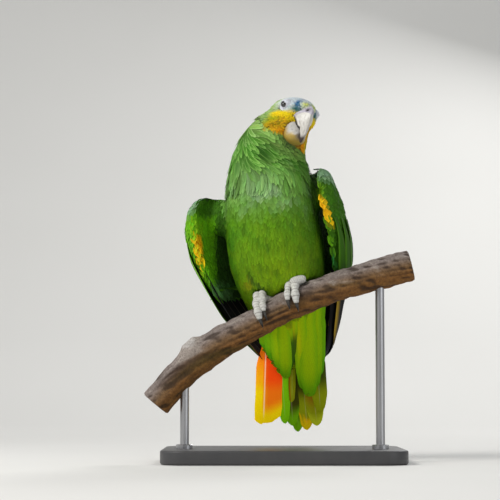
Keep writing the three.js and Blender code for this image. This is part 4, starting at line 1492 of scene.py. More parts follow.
# %% [markdown]
# ## Eyes and lids
#
# Each eye is a whole ball of ten millimetres, set deep. Only a small disc of it shows.
# The lids are one collar of bare skin per eye: it starts under the feathers, follows
# the face, climbs a little, folds over the lid margin and dives in along the ball.

# %% Eyeball
EYE_RADIUS = 5.0
EYE_AT = {"right": (-0.5, -14.0, 1.2), "left": (-0.5, 14.0, 1.2)}
EYE_LOOK = (0.40, 0.88, -0.26)


def eye_axis(side):
    sign = -1 if side == "right" else 1
    return unit(head_way(EYE_LOOK[0], sign * EYE_LOOK[1], EYE_LOOK[2]))


ball = Paint("eye_paint", Roughness=0.12, Coat_Weight=1.0, Coat_Roughness=0.02)
ball_paint = ball.out(Base_Color=ball.clouded(ball.noise(0.35, 4), (170, 150, 130)))
for side, at in EYE_AT.items():
    bm = bmesh.new()
    bmesh.ops.create_uvsphere(bm, u_segments=64, v_segments=48, radius=EYE_RADIUS * MM)
    turn = Vector(eye_axis(side)).to_track_quat("Z", "Y").to_matrix().to_4x4()
    bmesh.ops.transform(bm, matrix=Matrix.Translation(in_head(*at) * MM) @ turn, verts=bm.verts)
    eye = finish_piece(f"eyeball_{side}", bm, ball_paint, [f"eye_{side}"])
    spoke = (places_of(eye.data) - in_head(*at)) @ eye_axis(side)
    off_axis = np.sqrt(np.maximum(EYE_RADIUS**2 - np.minimum(spoke, EYE_RADIUS) ** 2, 0))
    off_axis = np.where(spoke < 0, 9, off_axis)
    iris = flat(rgb(92, 44, 18), len(spoke))
    iris = blend(iris, rgb(60, 28, 12), smoothstep(2.6, 3.2, off_axis))
    iris = blend(iris, rgb(4, 4, 5), smoothstep(2.5, 2.3, off_axis))
    paint_points(eye.data, "Marks", blend(iris, rgb(40, 24, 20), smoothstep(3.3, 3.9, off_axis)))


# %% Lids
LID_SIDES, LID_STEPS = 72, 30
LID_REACH, LID_FOLD = 6.6, 0.8  # how far out a lid starts; the share at which it turns in
OPENING = (2.9, 2.4)


def lid_sheet(side):
    """Rows of places from under the feathers in to the ball, with their share, 0 to 1."""
    centre, axis = in_head(*EYE_AT[side]), eye_axis(side)
    across = unit(np.cross(axis, head_way(0, 0, 1)))
    over = np.cross(across, axis)
    turn = np.arange(LID_SIDES) * 2 * math.pi / LID_SIDES
    rim = np.hypot(OPENING[0] * np.cos(turn), OPENING[1] * np.sin(turn))
    rows, shares = [], np.linspace(0, 1, LID_STEPS)
    for share in shares:
        if share < LID_FOLD:
            far = (share / LID_FOLD) ** 0.9
            reach = LID_REACH * (1 - far) + (rim + 0.5) * far
        else:
            reach = rim + 0.5 - 0.75 * (share - LID_FOLD) / 0.2
        flat = centre + (np.cos(turn) * reach)[:, None] * across + (np.sin(turn) * reach)[:, None] * over
        on_ball = np.sqrt(np.maximum(EYE_RADIUS**2 - reach**2, 0.3))
        on_face, ways, _ = on_skin(flat + (on_ball[:, None] * 0.8) * axis)
        on_face = on_face + ways * 0.25
        clear = on_face - centre
        away = np.linalg.norm(clear, axis=1, keepdims=True)
        on_face = centre + clear / away * np.maximum(away, EYE_RADIUS + 0.3)
        near_ball = smoothstep(0.45, 0.8, share)
        rise = on_ball + 0.55 + 0.45 * hill((share - 0.78) / 0.07, 1) - 0.5 * smoothstep(0.84, 1.0, share)
        ripple = 0.15 * np.sin(share * 34 + 0.8 * np.sin(turn * 3)) * smoothstep(0.1, 0.4, share)
        ripple = ripple * (share < 0.78)
        ripple = ripple + 0.05 * np.sin(turn * 17 + 3 * share) * smoothstep(0.9, 0.4, share)
        above = flat + rise[:, None] * axis
        rows.append(on_face * (1 - near_ball) + above * near_ball + ripple[:, None] * axis)
    return np.array(rows), shares


for side in EYE_AT:
    rows, shares = lid_sheet(side)
    axis = eye_axis(side)
    under = rows[::-1] - axis * 0.5
    loop = np.concatenate([rows, under], 0)
    bm = bmesh.new()
    bmesh.ops.create_grid(bm, x_segments=LID_SIDES, y_segments=len(loop), size=1)
    for vert in bm.verts:
        column = round((vert.co.x + 1) / 2 * LID_SIDES) % LID_SIDES
        row = round((vert.co.y + 1) / 2 * len(loop)) % len(loop)
        vert.co = loop[row, column] * MM
    bmesh.ops.remove_doubles(bm, verts=bm.verts, dist=1e-7)
    bmesh.ops.recalc_face_normals(bm, faces=bm.faces)
    share_at = np.concatenate([shares, shares[::-1]])[:, None] * np.ones((1, LID_SIDES))
    # Grey-green bands where the lid skin wrinkles: painted shade in the creases.
    crease_shade = 0.7 * hill(np.sin(share_at * 17), 0.4) * smoothstep(0.7, 0.4, share_at)
    tone = blend(flat(rgb(232, 238, 248), *share_at.shape), rgb(150, 160, 150), crease_shade)
    tone = blend(tone, rgb(70, 74, 78), smoothstep(0.8, 0.92, share_at))
    laid = ring_paint(bm, loop, tone)
    lid = finish_piece(f"lids_{side}", bm, soft_paint, sharp=70)
    paint_points(lid.data, "Marks", laid)
print("face done after", round(time.time() - started, 1), "s")

# %% [markdown]
# ## Flight feathers
#
# A folded wing is a fan that has been shut. Every quill starts under the coverts and
# runs parallel to the wing's leading edge, until its tip comes out past the trailing
# edge. So on the wing's chart each blade is a straight strip at its own distance back,
# and its tip lies where the board has become that narrow. Each blade is tilted a
# little, so that its leading web overlies the one in front, like tiles.

# %% Blade pattern
BLADE = leaf_pattern(22, 9)
BLADE_COLUMNS = np.linspace(-1, 1, BLADE["columns"])
BLADE_ROWS = np.linspace(0, 1, BLADE["rows"])


def blade_outline(s, c, point, nick=0.0):
    """Width share and pull-back of a long blade at s along it and c across it."""
    width = (0.34 + 0.66 * smoothstep(0, 0.35, s)) * (1 - 0.25 * smoothstep(0.75, 1, s))
    pull = point * (1 - math.sqrt(1 - 0.97 * c * c)) * s**4 + nick * max(0.0, c) * s**6
    return width, pull


def blade_bakes(count, first, across=8):
    """A cell of its own on a blade map for every blade: centres and sizes."""
    number = np.arange(count) + first
    cell = 1 / across
    centres = np.stack([(number % across + 0.5) * cell, (number // across + 0.5) * cell], -1)
    return centres, (cell * 0.9, cell * 0.9)


def blade_piece(name, spots, ways, thickness, hues, first, paint, slot, replaces=()):
    """Blades as one piece; first is the number of their first cell on the blade map."""
    bakes, size = blade_bakes(len(spots), first)
    mesh = mesh_of_leaves(name, BLADE, spots, ways, thickness, hues, None, bakes, size)
    return ride_mesh(name, mesh, paint, replaces)


def cross_lift(places, ways, shaft, groove):
    """Raises the middle of each blade into a shaft, on its underside a groove."""
    middle = BLADE["columns"] // 2
    places[:, :, middle] += ways[:, :, middle] * shaft
    for near in (middle - 1, middle + 1):
        places[:, :, near] -= ways[:, :, near] * groove
    return places


# %% Laying the wing blades
TIP_PAST = 5.5  # how far a tip comes out past the trailing edge


def wing_blades(name, backs, roots_at, width, tilt, short=0.0, proud=None):
    wing = WINGS[name]
    levels = np.linspace(74, 200, 127)
    chords = np.array([wing.chord(v) for v in levels])
    spots = np.zeros((len(backs), BLADE["rows"], BLADE["columns"], 3))
    tips = []
    for k, back in enumerate(backs):
        tip = float(np.interp(back + TIP_PAST, chords, levels)) + short
        tips.append(tip)
        reach = roots_at - tip
        for r, s in enumerate(BLADE_ROWS):
            for q, c in enumerate(BLADE_COLUMNS):
                share, pull = blade_outline(s, c, 0.10 + 0.0006 * back)
                lean = 1.15 if c < 0 else 0.85
                level = roots_at - reach * (s - pull)
                off = tilt * -c * (1 - 0.4 * s) + 0.1 * math.sin(9 * s + k)
                if proud:
                    off += wing.row(level)[6] / 2 + np.interp(level, *proud)
                spots[k, r, q] = wing.at(level, back + c * width / 2 * share * lean, off)
    down = unit(np.gradient(spots, axis=1))
    aside = unit(np.gradient(spots, axis=2))
    ways = unit(np.cross(aside, down))
    outward = np.array([OUTWARD[name], 0.4, 0])
    ways *= np.sign((ways * outward).sum(-1).mean(axis=(1, 2)))[:, None, None, None]
    return spots, ways, tips


def blade_colours(count, rule):
    """Colours for every point of every blade by rule(k, along, across, face)."""
    along = BLADE["row"] / (BLADE["rows"] - 1)
    across = BLADE["column"] / (BLADE["columns"] - 1) * 2 - 1
    return np.clip([rule(k, along, across, BLADE["face"]) for k in range(count)], 0, 1)


RED = np.array(rgb(226, 60, 14))
LEAD_GREEN, LEAD_YELLOW = np.array(rgb(122, 190, 22)), np.array(rgb(206, 168, 40))


def painted_shade_under_rule(k, along, across, face):
    """The quills seen from the front between wing and body, painted black: painted shade."""
    colour = flat(HUE["black"], len(along))
    colour = blend(colour, HUE["night"], 0.7 * smoothstep(0.55, 0.9, along) * (face >= 0))
    if k == 0:
        rim = smoothstep(-0.75, -0.95, across) * smoothstep(0.45, 0.55, along) * smoothstep(0.97, 0.88, along)
        colour = blend(colour, LEAD_YELLOW, 0.95 * rim)
    return colour


def back_rule(k, along, across, face):
    """The blades on the back of the wing: green webs, a red mirror, blue-black ends."""
    outer_web = smoothstep(0.05, -0.25, across)
    colour = flat(HUE["wing"] * 0.8, len(along))
    colour = blend(colour, HUE["wing_edge"], 0.5 * smoothstep(-0.7, -0.95, across))
    ends = smoothstep(0.62, 0.86, along) * (0.25 if k == 0 else 1)
    colour = blend(colour, HUE["night"], ends * (1 - 0.6 * outer_web * (k < 3)))
    if 3 <= k <= 6:
        mirror = smoothstep(0.36, 0.46, along) * smoothstep(0.74, 0.62, along)
        colour = blend(colour, RED, outer_web * mirror)
    # The undersides are painted black: painted shade beneath the blades.
    return blend(colour, HUE["black"], 0.9 * (face < 0))


def left_back_rule(k, along, across, face):
    colour = back_rule(k, along, across, face)
    if k < 3:
        colour = blend(colour, HUE["black"], smoothstep(0.42, 0.56, along))
    if k == 0:
        rim = smoothstep(-0.6, -0.9, across) * smoothstep(0.5, 0.58, along) * smoothstep(0.9, 0.8, along)
        colour = blend(colour, LEAD_YELLOW, 0.9 * rim)
    return colour


def bright_back_rule(k, along, across, face):
    colour = back_rule(k, along, across, face)
    if k == 0:
        rim = smoothstep(0.1, -0.3, across) * smoothstep(1.0, 0.9, along)
        colour = blend(colour, LEAD_GREEN, 0.95 * rim)
    return colour


blade_material = vane_paint("blade_paint", 160, (0.3, rgb(120, 112, 92)), 0.5, Specular_IOR_Level=0.2)
BACKS = np.array([3, 11, 19, 27.5, 36, 45, 54, 63, 72])
OUTER_BACKS = np.array([13.5, 21, 28.5, 36, 44, 52, 61, 70])
PROUD = {
    "right": ([100, 120, 130, 141, 160, 180, 192, 204], [1.5, 3.2, 4.4, 3.2, 2.0, 0.8, -0.8, -3.0]),
    "left": ([100, 120, 141, 160, 180, 200, 218], [0.6, 0.8, 0.8, 0.8, 0.7, -0.2, -3.0]),
}
SETS = {
    # name: wing, backs, roots, width, tilt, shortened by, proud, rule, first cell
    "flight_right": ("right", BACKS, 172, 17, 0.75, 0, None, painted_shade_under_rule, 0),
    "flight_left": ("left", BACKS, 172, 17, 0.75, 0, None, painted_shade_under_rule, 9),
    "flight_back_right": ("right", OUTER_BACKS, 204, 16, 0.9, 5, PROUD["right"], bright_back_rule, 32),
    "flight_back_left": ("left", OUTER_BACKS, 218, 16, 0.9, 5, PROUD["left"], left_back_rule, 40),
}
for name, (side, backs, roots_at, width, tilt, short, proud, rule, first) in SETS.items():
    spots, ways, tips = wing_blades(side, backs, roots_at, width, tilt, short, proud)
    spots = cross_lift(spots, ways, 0.18, 0.06)
    hues = blade_colours(len(backs), rule)
    flight = [f"wing_{side}_flight"]
    blade_piece(name, spots, ways, 0.5, hues, first, blade_material, "flight_feathers", flight)
    print(name, "tips at", [round(v) for v in tips])

# %% [markdown]
# ## Tail feathers
#
# Seven blades and one short one fan out below the branch, each in a layer of its own.
# Their colours are what the tail is known by: fire orange with a yellow tip on the
# outer one, and green with yellow ends on the others.

# %% Tail blades
TAIL_ROOT_Z, TAIL_Y, TAIL_LEAN = 111.0, 30.0, 0.33
TAIL_STEP = 0.9  # from layer to layer
TAIL_TUCK = 12  # how far back the roots are tucked into the body
TAIL = [
    # tip x, tip z, width, layer, root x
    [-17.4, 33, 24.6, 0, -15], [3.4, 33, 12, 1.2, -2], [10.5, 31, 16, 2.4, 5], [15.5, 25.4, 14, 3.6, 11],
    [23.8, 27, 17, 2.8, 17], [33, 31, 19, 1.6, 24], [36, 44, 15, 0.4, 31], [9.4, 53, 6.5, 0.2, 9],
]
TAIL_WAY = unit([0, -1.0, -TAIL_LEAN])


def tail_blades():
    spots = np.zeros((len(TAIL), BLADE["rows"], BLADE["columns"], 3))
    for k, (tip_x, tip_z, width, layer, root_x) in enumerate(TAIL):
        point = 0.09 if k == 0 else 0.18
        for r, s in enumerate(BLADE_ROWS):
            for q, c in enumerate(BLADE_COLUMNS):
                share, pull = blade_outline(s, c, point * width / 24, 0.0 if k == 0 else 0.03)
                if k == 0:
                    share = (share + 0.24 * smoothstep(0.7, 1, s)) * (0.67 if c < 0 else 1.33)
                    pull += 0.035 * s**8 * (c * 0.6 + 0.25 * math.sin(9 * c + 1))
                t = s - pull
                z = TAIL_ROOT_Z + (tip_z - TAIL_ROOT_Z) * t
                x = root_x + (tip_x - root_x) * (t * 0.85 + 0.15 * t * t) + c * width / 2 * share
                cup = 0.5 * (c * c - 0.3) + 0.15 * math.sin(7 * s + 2 * k + c)
                y = TAIL_Y + TAIL_LEAN * (TAIL_ROOT_Z - z) + layer * TAIL_STEP + cup
                y += TAIL_TUCK * smoothstep(0.32, 0.0, s)
                spots[k, r, q] = (x, y, z)
    return spots, np.broadcast_to(TAIL_WAY, spots.shape)


TAIL_HUE = {
    "fire": rgb(246, 96, 10), "red": rgb(236, 58, 6), "yellow": rgb(255, 174, 2), "gold": rgb(250, 176, 6),
    "lime": rgb(110, 176, 6), "dark": rgb(54, 56, 6), "olive": rgb(122, 132, 8), "brown": rgb(120, 74, 6),
    "pale": rgb(190, 200, 40), "moss": rgb(40, 52, 6), "gilt": rgb(122, 128, 10),
}
# Tail colours are lifted above their own: painted light, for the daylight that shines through the thin
# feathers.
TAIL_PAINTED_LIGHT = 1.7


def tail_rule(k, along, across, face):
    n, hue = len(along), TAIL_HUE
    if k == 0:
        left = smoothstep(0.05, -0.15, across)
        colour = flat(hue["fire"], n)
        colour = blend(colour, hue["red"], (1 - left) * smoothstep(0.66, 0.45, along))
        colour = blend(colour, hue["gold"], 0.45 * left * smoothstep(0.15, 0.5, along))
        yellow = left * smoothstep(0.48, 0.66, along)
        return blend(colour, hue["yellow"], yellow + smoothstep(0.76, 0.96, along + 0.06 * across))
    if k == 1:
        # The left edge of this feather is painted dark moss green: painted shade where it meets its
        # neighbour.
        rim = smoothstep(-0.5, -0.9, across) * smoothstep(0.8, 0.6, along)
        return blend(flat(hue["lime"], n), hue["moss"], 0.7 * rim)
    if k in (2, 3):
        return blend(flat(hue["dark"], n), hue["lime"], 0.75 * smoothstep(0.75, 0.95, along))
    if k == 7:
        return blend(flat(hue["gilt"], n), hue["brown"], smoothstep(-0.3, -0.8, across))
    colour = flat(hue["olive"], n)
    if k == 4:
        colour = blend(colour, hue["dark"], smoothstep(0.75, 0.5, along))
        return blend(colour, hue["yellow"], smoothstep(0.84, 0.95, along + 0.05 * np.sin(across * 14)))
    if k == 5:
        spot = hill((along - 0.64) / 0.14, 1) * hill((across + 0.3) / 0.7, 1)
        colour = blend(colour, hue["brown"], 0.9 * spot)
        return blend(colour, hue["pale"], 0.5 * smoothstep(0.85, 0.97, along))
    return blend(colour, hue["moss"], 0.9 * smoothstep(-0.4, 0.1, across) * smoothstep(0.8, 0.5, along))


tail_spots, tail_ways = tail_blades()
tail_spots = cross_lift(tail_spots.copy(), tail_ways, 0.3, 0.0)
tail_hues = np.clip(blade_colours(len(TAIL), tail_rule) * TAIL_PAINTED_LIGHT, 0, 1)
for name, some, first, shaft, glow in (
    ("tail_outer", slice(0, 1), 24, 0.6, 0.32), ("tail_blades", slice(1, None), 25, 0.15, 0.1),
):
    shaft_tone = (shaft, rgb(250, 232, 190))
    paint = vane_paint(name + "_paint", 160, shaft_tone, 0.6, glow=glow, thin=0.6, Specular_IOR_Level=0.1)
    blades = tail_spots[some], tail_ways[some]
    blade_piece(name, *blades, 0.6, tail_hues[some], first, paint, "tail_feathers", ["tail"])

# %% [markdown]
# ## Long coverts under the tail
#
# Below the branch the under tail coverts hang in two smooth lobes with a dark parting.
# They are long soft blades. Each is laid down the front of the skin, and goes straight
# on over the tail feathers where the skin ends.

# %% Lobes of coverts
LOBES = [
    # root x, root z, tip x, tip z, width, height over the skin
    [-17, 124, -15, 101, 11, 1.0], [-12, 126, -8.5, 92, 13, 1.2], [-6, 128, -2.2, 83.5, 13, 1.4],
    [6, 128, 7.5, 84, 8, 0.7], [0, 130, 3.4, 74.8, 13, 1.6],
    [10, 134, 14.4, 82, 8, 0.8], [34, 146, 34, 78, 11, 1.1], [28.5, 144, 29.5, 66, 15, 1.4],
    [15, 140, 20, 65, 13, 1.3], [22, 142, 25.6, 57.8, 17, 1.7],
]


IN_FRONT = -120


def front_of_skin(x, z):
    """How far forward the skin comes at x and z, and the tail's own plane below it."""
    plane = TAIL_Y + TAIL_LEAN * (TAIL_ROOT_Z - z) - 0.6
    hit = skin_tree.ray_cast(Vector((x, IN_FRONT, z)) * MM, Vector((0, 1, 0)))[0]
    return min(hit.y / MM, plane) if hit else plane


lobe_spots = np.zeros((len(LOBES), BLADE["rows"], BLADE["columns"], 3))
for k, (x0, z0, x1, z1, width, proud) in enumerate(LOBES):
    spine_x, spine_z = x0 + (x1 - x0) * BLADE_ROWS, z0 + (z1 - z0) * BLADE_ROWS
    depth = np.array([front_of_skin(x, z) for x, z in zip(spine_x, spine_z)])
    for _ in range(6):
        depth = np.convolve(np.r_[depth[0], depth, 2 * depth[-1] - depth[-2]], [0.25, 0.5, 0.25], "valid")
    for r, s in enumerate(BLADE_ROWS):
        for q, c in enumerate(BLADE_COLUMNS):
            share, pull = blade_outline(s, c, 0.45 * width / (z0 - z1))
            share = max(share, 0.95 - 0.5 * s)
            pull += 0.004 * math.sin(23 * c + 3 * k) * s**6
            x = np.interp(s - pull, BLADE_ROWS, spine_x) + c * width / 2 * share
            y = np.interp(s - pull, BLADE_ROWS, depth) - proud * smoothstep(0, 0.3, s) + 0.9 * c * c
            lobe_spots[k, r, q] = (x, y, z0 + (z1 - z0) * (s - pull))
lobe_ways = np.broadcast_to(TAIL_WAY, lobe_spots.shape)


def lobe_rule(k, along, across, face):
    warm = hill((along - 0.4) / 0.2, 1) * smoothstep(0.2, -0.4, across)
    colour = blend(flat(HUE["covert"], len(along)), HUE["lemon"], 0.6 * warm * (k in (5, 8)))
    colour = blend(colour, HUE["covert_edge"], 0.8 * smoothstep(0.7, 1, along) + 0.6 * (k in (0, 1, 6)))
    colour = blend(colour, HUE["covert_edge"], 0.5 * smoothstep(0.3, 0.9, np.abs(across)))
    return blend(colour, HUE["shade"], 0.9 * (k in (3, 5)) * smoothstep(0.25, 0.5, along))


lobe_hues = blade_colours(len(LOBES), lobe_rule)
# A faint glow of the coverts' own colour is painted light, for daylight through the thin feathers.
lobe_paint = vane_paint("covert_paint", 90, (0.05, rgb(60, 80, 10)), 0.65, glow=0.08, Specular_IOR_Level=0.12)
blade_piece("covert_lobes", lobe_spots, lobe_ways, 0.35, lobe_hues, 48, lobe_paint, "green_plumage")
print("tail done after", round(time.time() - started, 1), "s")

# %% [markdown]
# ## The branch
#
# The branch is one long tube on a bent line. Its bark is built up in the mesh: slow
# swellings, lengthwise ridges that wander, small warts, a knot and the stub of a side
# twig. The cut ends are flat and show the yearly rings.

# %% Branch line
PERCH = [
    # x, y, z, radius
    [-114, -14, 52, 14.2], [-95, -14, 74.5, 13.8], [-66, -15, 99.5, 14.6], [-43, -16, 113.5, 14],
    [-20, -17, 126, 13.2], [4, -18, 138.8, 13.2], [28, -20, 149, 13.5], [51, -22, 157.3, 13.4],
    [73, -23, 164, 13.6], [96, -24, 170.5, 14.4], [114, -25, 175, 13.8],
]
STUB_X, KNOT_X = -74, 104


def branch_frame(t):
    """Middle, radius and the ways along, forward and up of the branch at t."""
    here, t = between(PERCH, t), np.asarray(t)
    ahead = between(PERCH, np.minimum(t + 0.004, 1)) - between(PERCH, np.maximum(t - 0.004, 0))
    along = unit(ahead[:, :3])
    front = unit(np.cross(along, [0, 0, 1.0]))
    return here[:, :3], here[:, 3], along, front, np.cross(front, along)


# %% Bark relief
BRANCH_RINGS, BRANCH_SIDES = 300, 128
BRANCH_RUN, BRANCH_RADIUS = 268, 13.5
dice = np.random.default_rng(7)
branch_t = np.linspace(0, 1, BRANCH_RINGS)
middle, radius, along, front, up = branch_frame(branch_t)
turn = np.arange(BRANCH_SIDES) * 2 * math.pi / BRANCH_SIDES
run = branch_t[:, None] * BRANCH_RUN
from_end = np.minimum(run, BRANCH_RUN - run)
relief = np.zeros((BRANCH_RINGS, BRANCH_SIDES))
for _ in range(46):
    rounds, wave = dice.integers(1, 22), dice.uniform(9, 80)
    size = 0.55 / (rounds + 2) + 0.02
    relief += size * np.sin(turn * rounds + run / wave * 2 * math.pi + dice.uniform(0, 6))
for _ in range(260):
    at, round_at = dice.uniform(2, 266), dice.uniform(0, 2 * math.pi)
    wide, tall = dice.uniform(0.7, 2.4), dice.uniform(-0.35, 0.5)
    off = (turn - round_at + math.pi) % (2 * math.pi) - math.pi
    relief += tall * np.exp(-((run - at) ** 2 + (off * BRANCH_RADIUS) ** 2) / wide**2)
lump = middle[:, :1]
stub = hill((lump - STUB_X) / 6, 1) * np.maximum(np.sin(turn + 0.25), 0) ** 5
relief += 5.5 * np.minimum(stub * 1.5, 0.85)
relief += 1.8 * hill((lump - KNOT_X) / 6, 1) * np.maximum(-np.cos(turn + 0.5), 0) ** 2
relief *= smoothstep(0, 1.6, from_end) * 0.9 + 0.1
edge = 0.9 * (1 - smoothstep(0, 1.4, from_end))
reach = radius[:, None] - 0.35 + relief - edge
branch_rings = (
    middle[:, None]
    + up[:, None] * (reach * np.sin(turn))[..., None]
    + front[:, None] * (reach * np.cos(turn))[..., None]
)

# %% Bark colours
def waves(*rows):
    """A sum of waves that run aslant round the branch, about 0."""
    return sum(np.sin(turn * rounds + run / wave + start) for rounds, wave, start in rows)


top = np.sin(turn)[None, :] * np.ones_like(relief)
bark = flat(rgb(140, 108, 72), *relief.shape)
bark = blend(bark, rgb(164, 152, 146), smoothstep(-0.1, 0.75, top))
bark = blend(bark, rgb(156, 108, 56), smoothstep(0.1, -0.6, top))
# Darker in the hollows of the relief: painted shade. Raised ridges on the upper half are paler: painted
# light.
bark = blend(bark, rgb(64, 48, 36), 0.8 * smoothstep(0.05, -0.7, relief))
bark = blend(bark, rgb(196, 186, 176), 0.6 * smoothstep(0.3, 0.9, relief) * smoothstep(-0.3, 0.4, top))
bark = blend(bark, rgb(222, 218, 214), 0.8 * smoothstep(0.3, 0.6, stub))
stains = smoothstep(0.9, 2.0, waves((1, 23, 1), (2, 14, 5), (4, 9, 3)))
bark = blend(bark, rgb(70, 44, 24), 0.7 * stains * smoothstep(0.9, 0.2, top))
patches = waves((1, 19, 0), (2, 31, 2), (3, 12, 4))
bark = blend(bark, rgb(112, 108, 46), 0.35 * smoothstep(0.6, 2.2, patches) * smoothstep(0.5, -0.4, top))
bark_paint = Paint("bark", Roughness=0.85, Specular_IOR_Level=0.25)
bark_fine = bark_paint.noise(2.2, 6)
bark_grit = bark_paint.noise(0.8, 4)
bark_speck = bark_paint.ramp(bark_paint.noise(1.3, 3), 0.56, 0.66)
bark_paint.bump(bark_fine + bark_grit * 0.5, 0.7, 0.9)
bark_lit = bark_paint.clouded(bark_fine, (120, 112, 106))
bark_lit = bark_paint.mix(bark_speck * 0.5, bark_lit, rgba(70, 56, 44))
bark_material = bark_paint.out(Base_Color=bark_lit, Roughness=0.75 + bark_fine * 0.2)
painted_tube("branch", branch_rings, bark, bark_material, ["perch"], sharp=50)

# %% Cut ends
wood = Paint("cut_wood", Roughness=0.7)
wood_map = wood.node("UVMap", {"uv_map": "Rings"})
wood_split = wood.node("SeparateXYZ", Vector=wood_map)
wood_rings = wood.maths("SINE", wood_split * 120 + wood.noise(2, 2) * 5)
wood.bump(wood_rings, 0.08, 0.5)
wood_tone = wood.mix(wood_rings * 0.5 + 0.5, rgba(190, 158, 116), rgba(160, 124, 82))
wood_material = wood.out(Base_Color=wood.mix(wood.ramp(wood_split, 0.86, 0.97), wood_tone, rgba(92, 70, 50)))
for name, row, sign in (("cut_low", 0, -1), ("cut_high", -1, 1)):
    centre = middle[row] + sign * along[row] * 0.25
    rims = [branch_rings[row] - sign * along[row] * 1.5]
    for share in np.linspace(1, 0.04, 12):
        rims.append(centre + (branch_rings[row] - middle[row]) * (0.97 * share))
    rims = np.array(rims)
    rims[0] = middle[row] - sign * along[row] * 1.5 + (branch_rings[row] - middle[row]) * 0.9
    bm = tube_of(rims if sign > 0 else rims[::-1])
    rings_layer = bm.loops.layers.uv.new("Rings")
    size = float(np.linalg.norm(branch_rings[row] - middle[row], axis=1).mean())
    for face in bm.faces:
        for loop in face.loops:
            far = float(np.linalg.norm(np.array(loop.vert.co) / MM - centre)) / size
            loop[rings_layer].uv = (far, 0.5)
    finish_piece(name, bm, wood_material, sharp=30)

# %% [markdown]
# ## Feet
#
# Each foot grips the branch with two toes in front and two behind. A toe is a tube laid
# round the branch, thick at the knuckles. Across its back run raised scutes, and small
# round scales cover its sides. Each claw leaves the toe's end, arches clear of the bark
# and comes down to a point.

# %% Toes along the branch
LEGS = {
    "right": {"x": -12.0, "splay": -1, "slant": -6, "curl": 0.9, "base": 1.2, "arch": 3.0, "palm": 8},
    "left": {"x": 16.2, "splay": 1, "slant": -7.5, "curl": 0.98, "base": 1.5, "arch": 5.4, "palm": 14},
}
TOES = [
    # from degrees, to degrees, along, radius
    (4, 98, 3.1, 4.0), (4, 80, -3.2, 3.5), (-10, -104, 4, 3.5), (-10, -80, -3.6, 3.1),
]


def bands(t, count, power):
    """Rounded rings, 0 in the creases and 1 on the crests."""
    return 1 - np.abs(2 * (t * count % 1) - 1) ** power


def on_branch(x, degrees, aside, lift):
    """A place round the branch: degrees from the top towards the front, aside along it."""
    table = np.array([row[0] for row in PERCH], float)
    t = np.interp(x, table, np.linspace(0, 1, len(PERCH)))
    mid, rad, ahead, face, over = (v[0] for v in branch_frame(np.array([t])))
    angle = math.radians(degrees)
    far = rad + lift
    return mid + ahead * aside + over * far * math.cos(angle) + face * far * math.sin(angle)


TOE_RINGS, TOE_SIDES = 56, 24
INSIDE_BARK = -8
SCUTES, SCUTES_OVER = 10, 94  # so many scutes on a toe that spans so many degrees
scale_turn = np.arange(TOE_SIDES) * 2 * math.pi / TOE_SIDES


def toe_rings(leg, toe):
    start, end, along_by, radius = toe
    t = np.linspace(0, 1, TOE_RINGS)
    places, ups = [], []
    for v in t:
        degrees = start + (end * leg["curl"] - start) * v
        fan = 1 - smoothstep(0, 0.5, v)
        aside = leg["splay"] * along_by * (1 - 0.3 * fan) + leg["slant"] * v + leg["base"] * fan
        arch = leg["arch"] * (1 - smoothstep(0, 0.42, v)) if end > 0 else 0.8 * (1 - smoothstep(0, 0.3, v))
        place = on_branch(leg["x"], degrees, aside, radius + 0.15 + arch)
        places.append(place)
        ups.append(unit(place - on_branch(leg["x"], degrees, aside, INSIDE_BARK)))
    places, ups = np.array(places), np.array(ups)
    thick = radius * (1.04 - 0.2 * t + 0.12 * np.cos(5.4 * math.pi * t))
    thick = thick * np.sqrt(1 - np.clip((t - 0.9) / 0.115, 0, 1) ** 2 * 0.85)
    back = np.maximum(np.sin(scale_turn), 0) ** 0.6
    scute = bands(t, SCUTES * abs(end - start) / SCUTES_OVER, 6)
    grains = 0.07 * np.sin(t[:, None] * 90 + 2 * np.sin(scale_turn * 3)) * np.cos(scale_turn * 7)
    around = thick[:, None] + 0.28 * scute[:, None] * back + grains * (1 - back) - 0.14
    ahead = unit(np.gradient(places, axis=0))
    side = unit(np.cross(ahead, ups))
    over = np.cross(side, ahead)
    rings = (
        places[:, None]
        + side[:, None] * (around * np.cos(scale_turn) * 0.94)[..., None]
        + over[:, None] * (around * np.sin(scale_turn))[..., None]
    )
    shade = (scute[:, None] * 0.75 + 0.25) * np.ones((1, TOE_SIDES))
    shade = np.where(np.sin(scale_turn) > 0.15, shade, 0.75 + grains * 2)
    return rings, shade


foot_paint = Paint("foot_skin", Roughness=0.6, Specular_IOR_Level=0.35)
foot_paint.bump(foot_paint.ramp(foot_paint.cells(0.9), 0.0, 0.2), 0.14, 0.7)
foot_material = foot_paint.out(Base_Color=foot_paint.clouded(foot_paint.noise(1.6, 4), (188, 180, 172)))
SCALE_LIGHT, SCALE_DARK = rgb(228, 230, 226), rgb(112, 104, 94)


def joined_tubes(name, tubes, shades, material, replaces):
    """Several closed tubes as one piece, shaded from a dark crease to a pale scale."""
    whole = bmesh.new()
    for rings in tubes:
        add_part(whole, tube_of(rings))
    rows = np.concatenate([rings.reshape(-1, 3) for rings in tubes])
    tones = np.concatenate([shade.reshape(-1) for shade in shades])
    colours = blend(flat(SCALE_DARK, len(tones)), SCALE_LIGHT, tones)
    laid = ring_paint(whole, rows, colours)
    piece = finish_piece(name, whole, material, replaces, sharp=60)
    paint_points(piece.data, "Marks", laid)
    return piece


# %% Claws
CLAW_RINGS, CLAW_SIDES = 26, 16


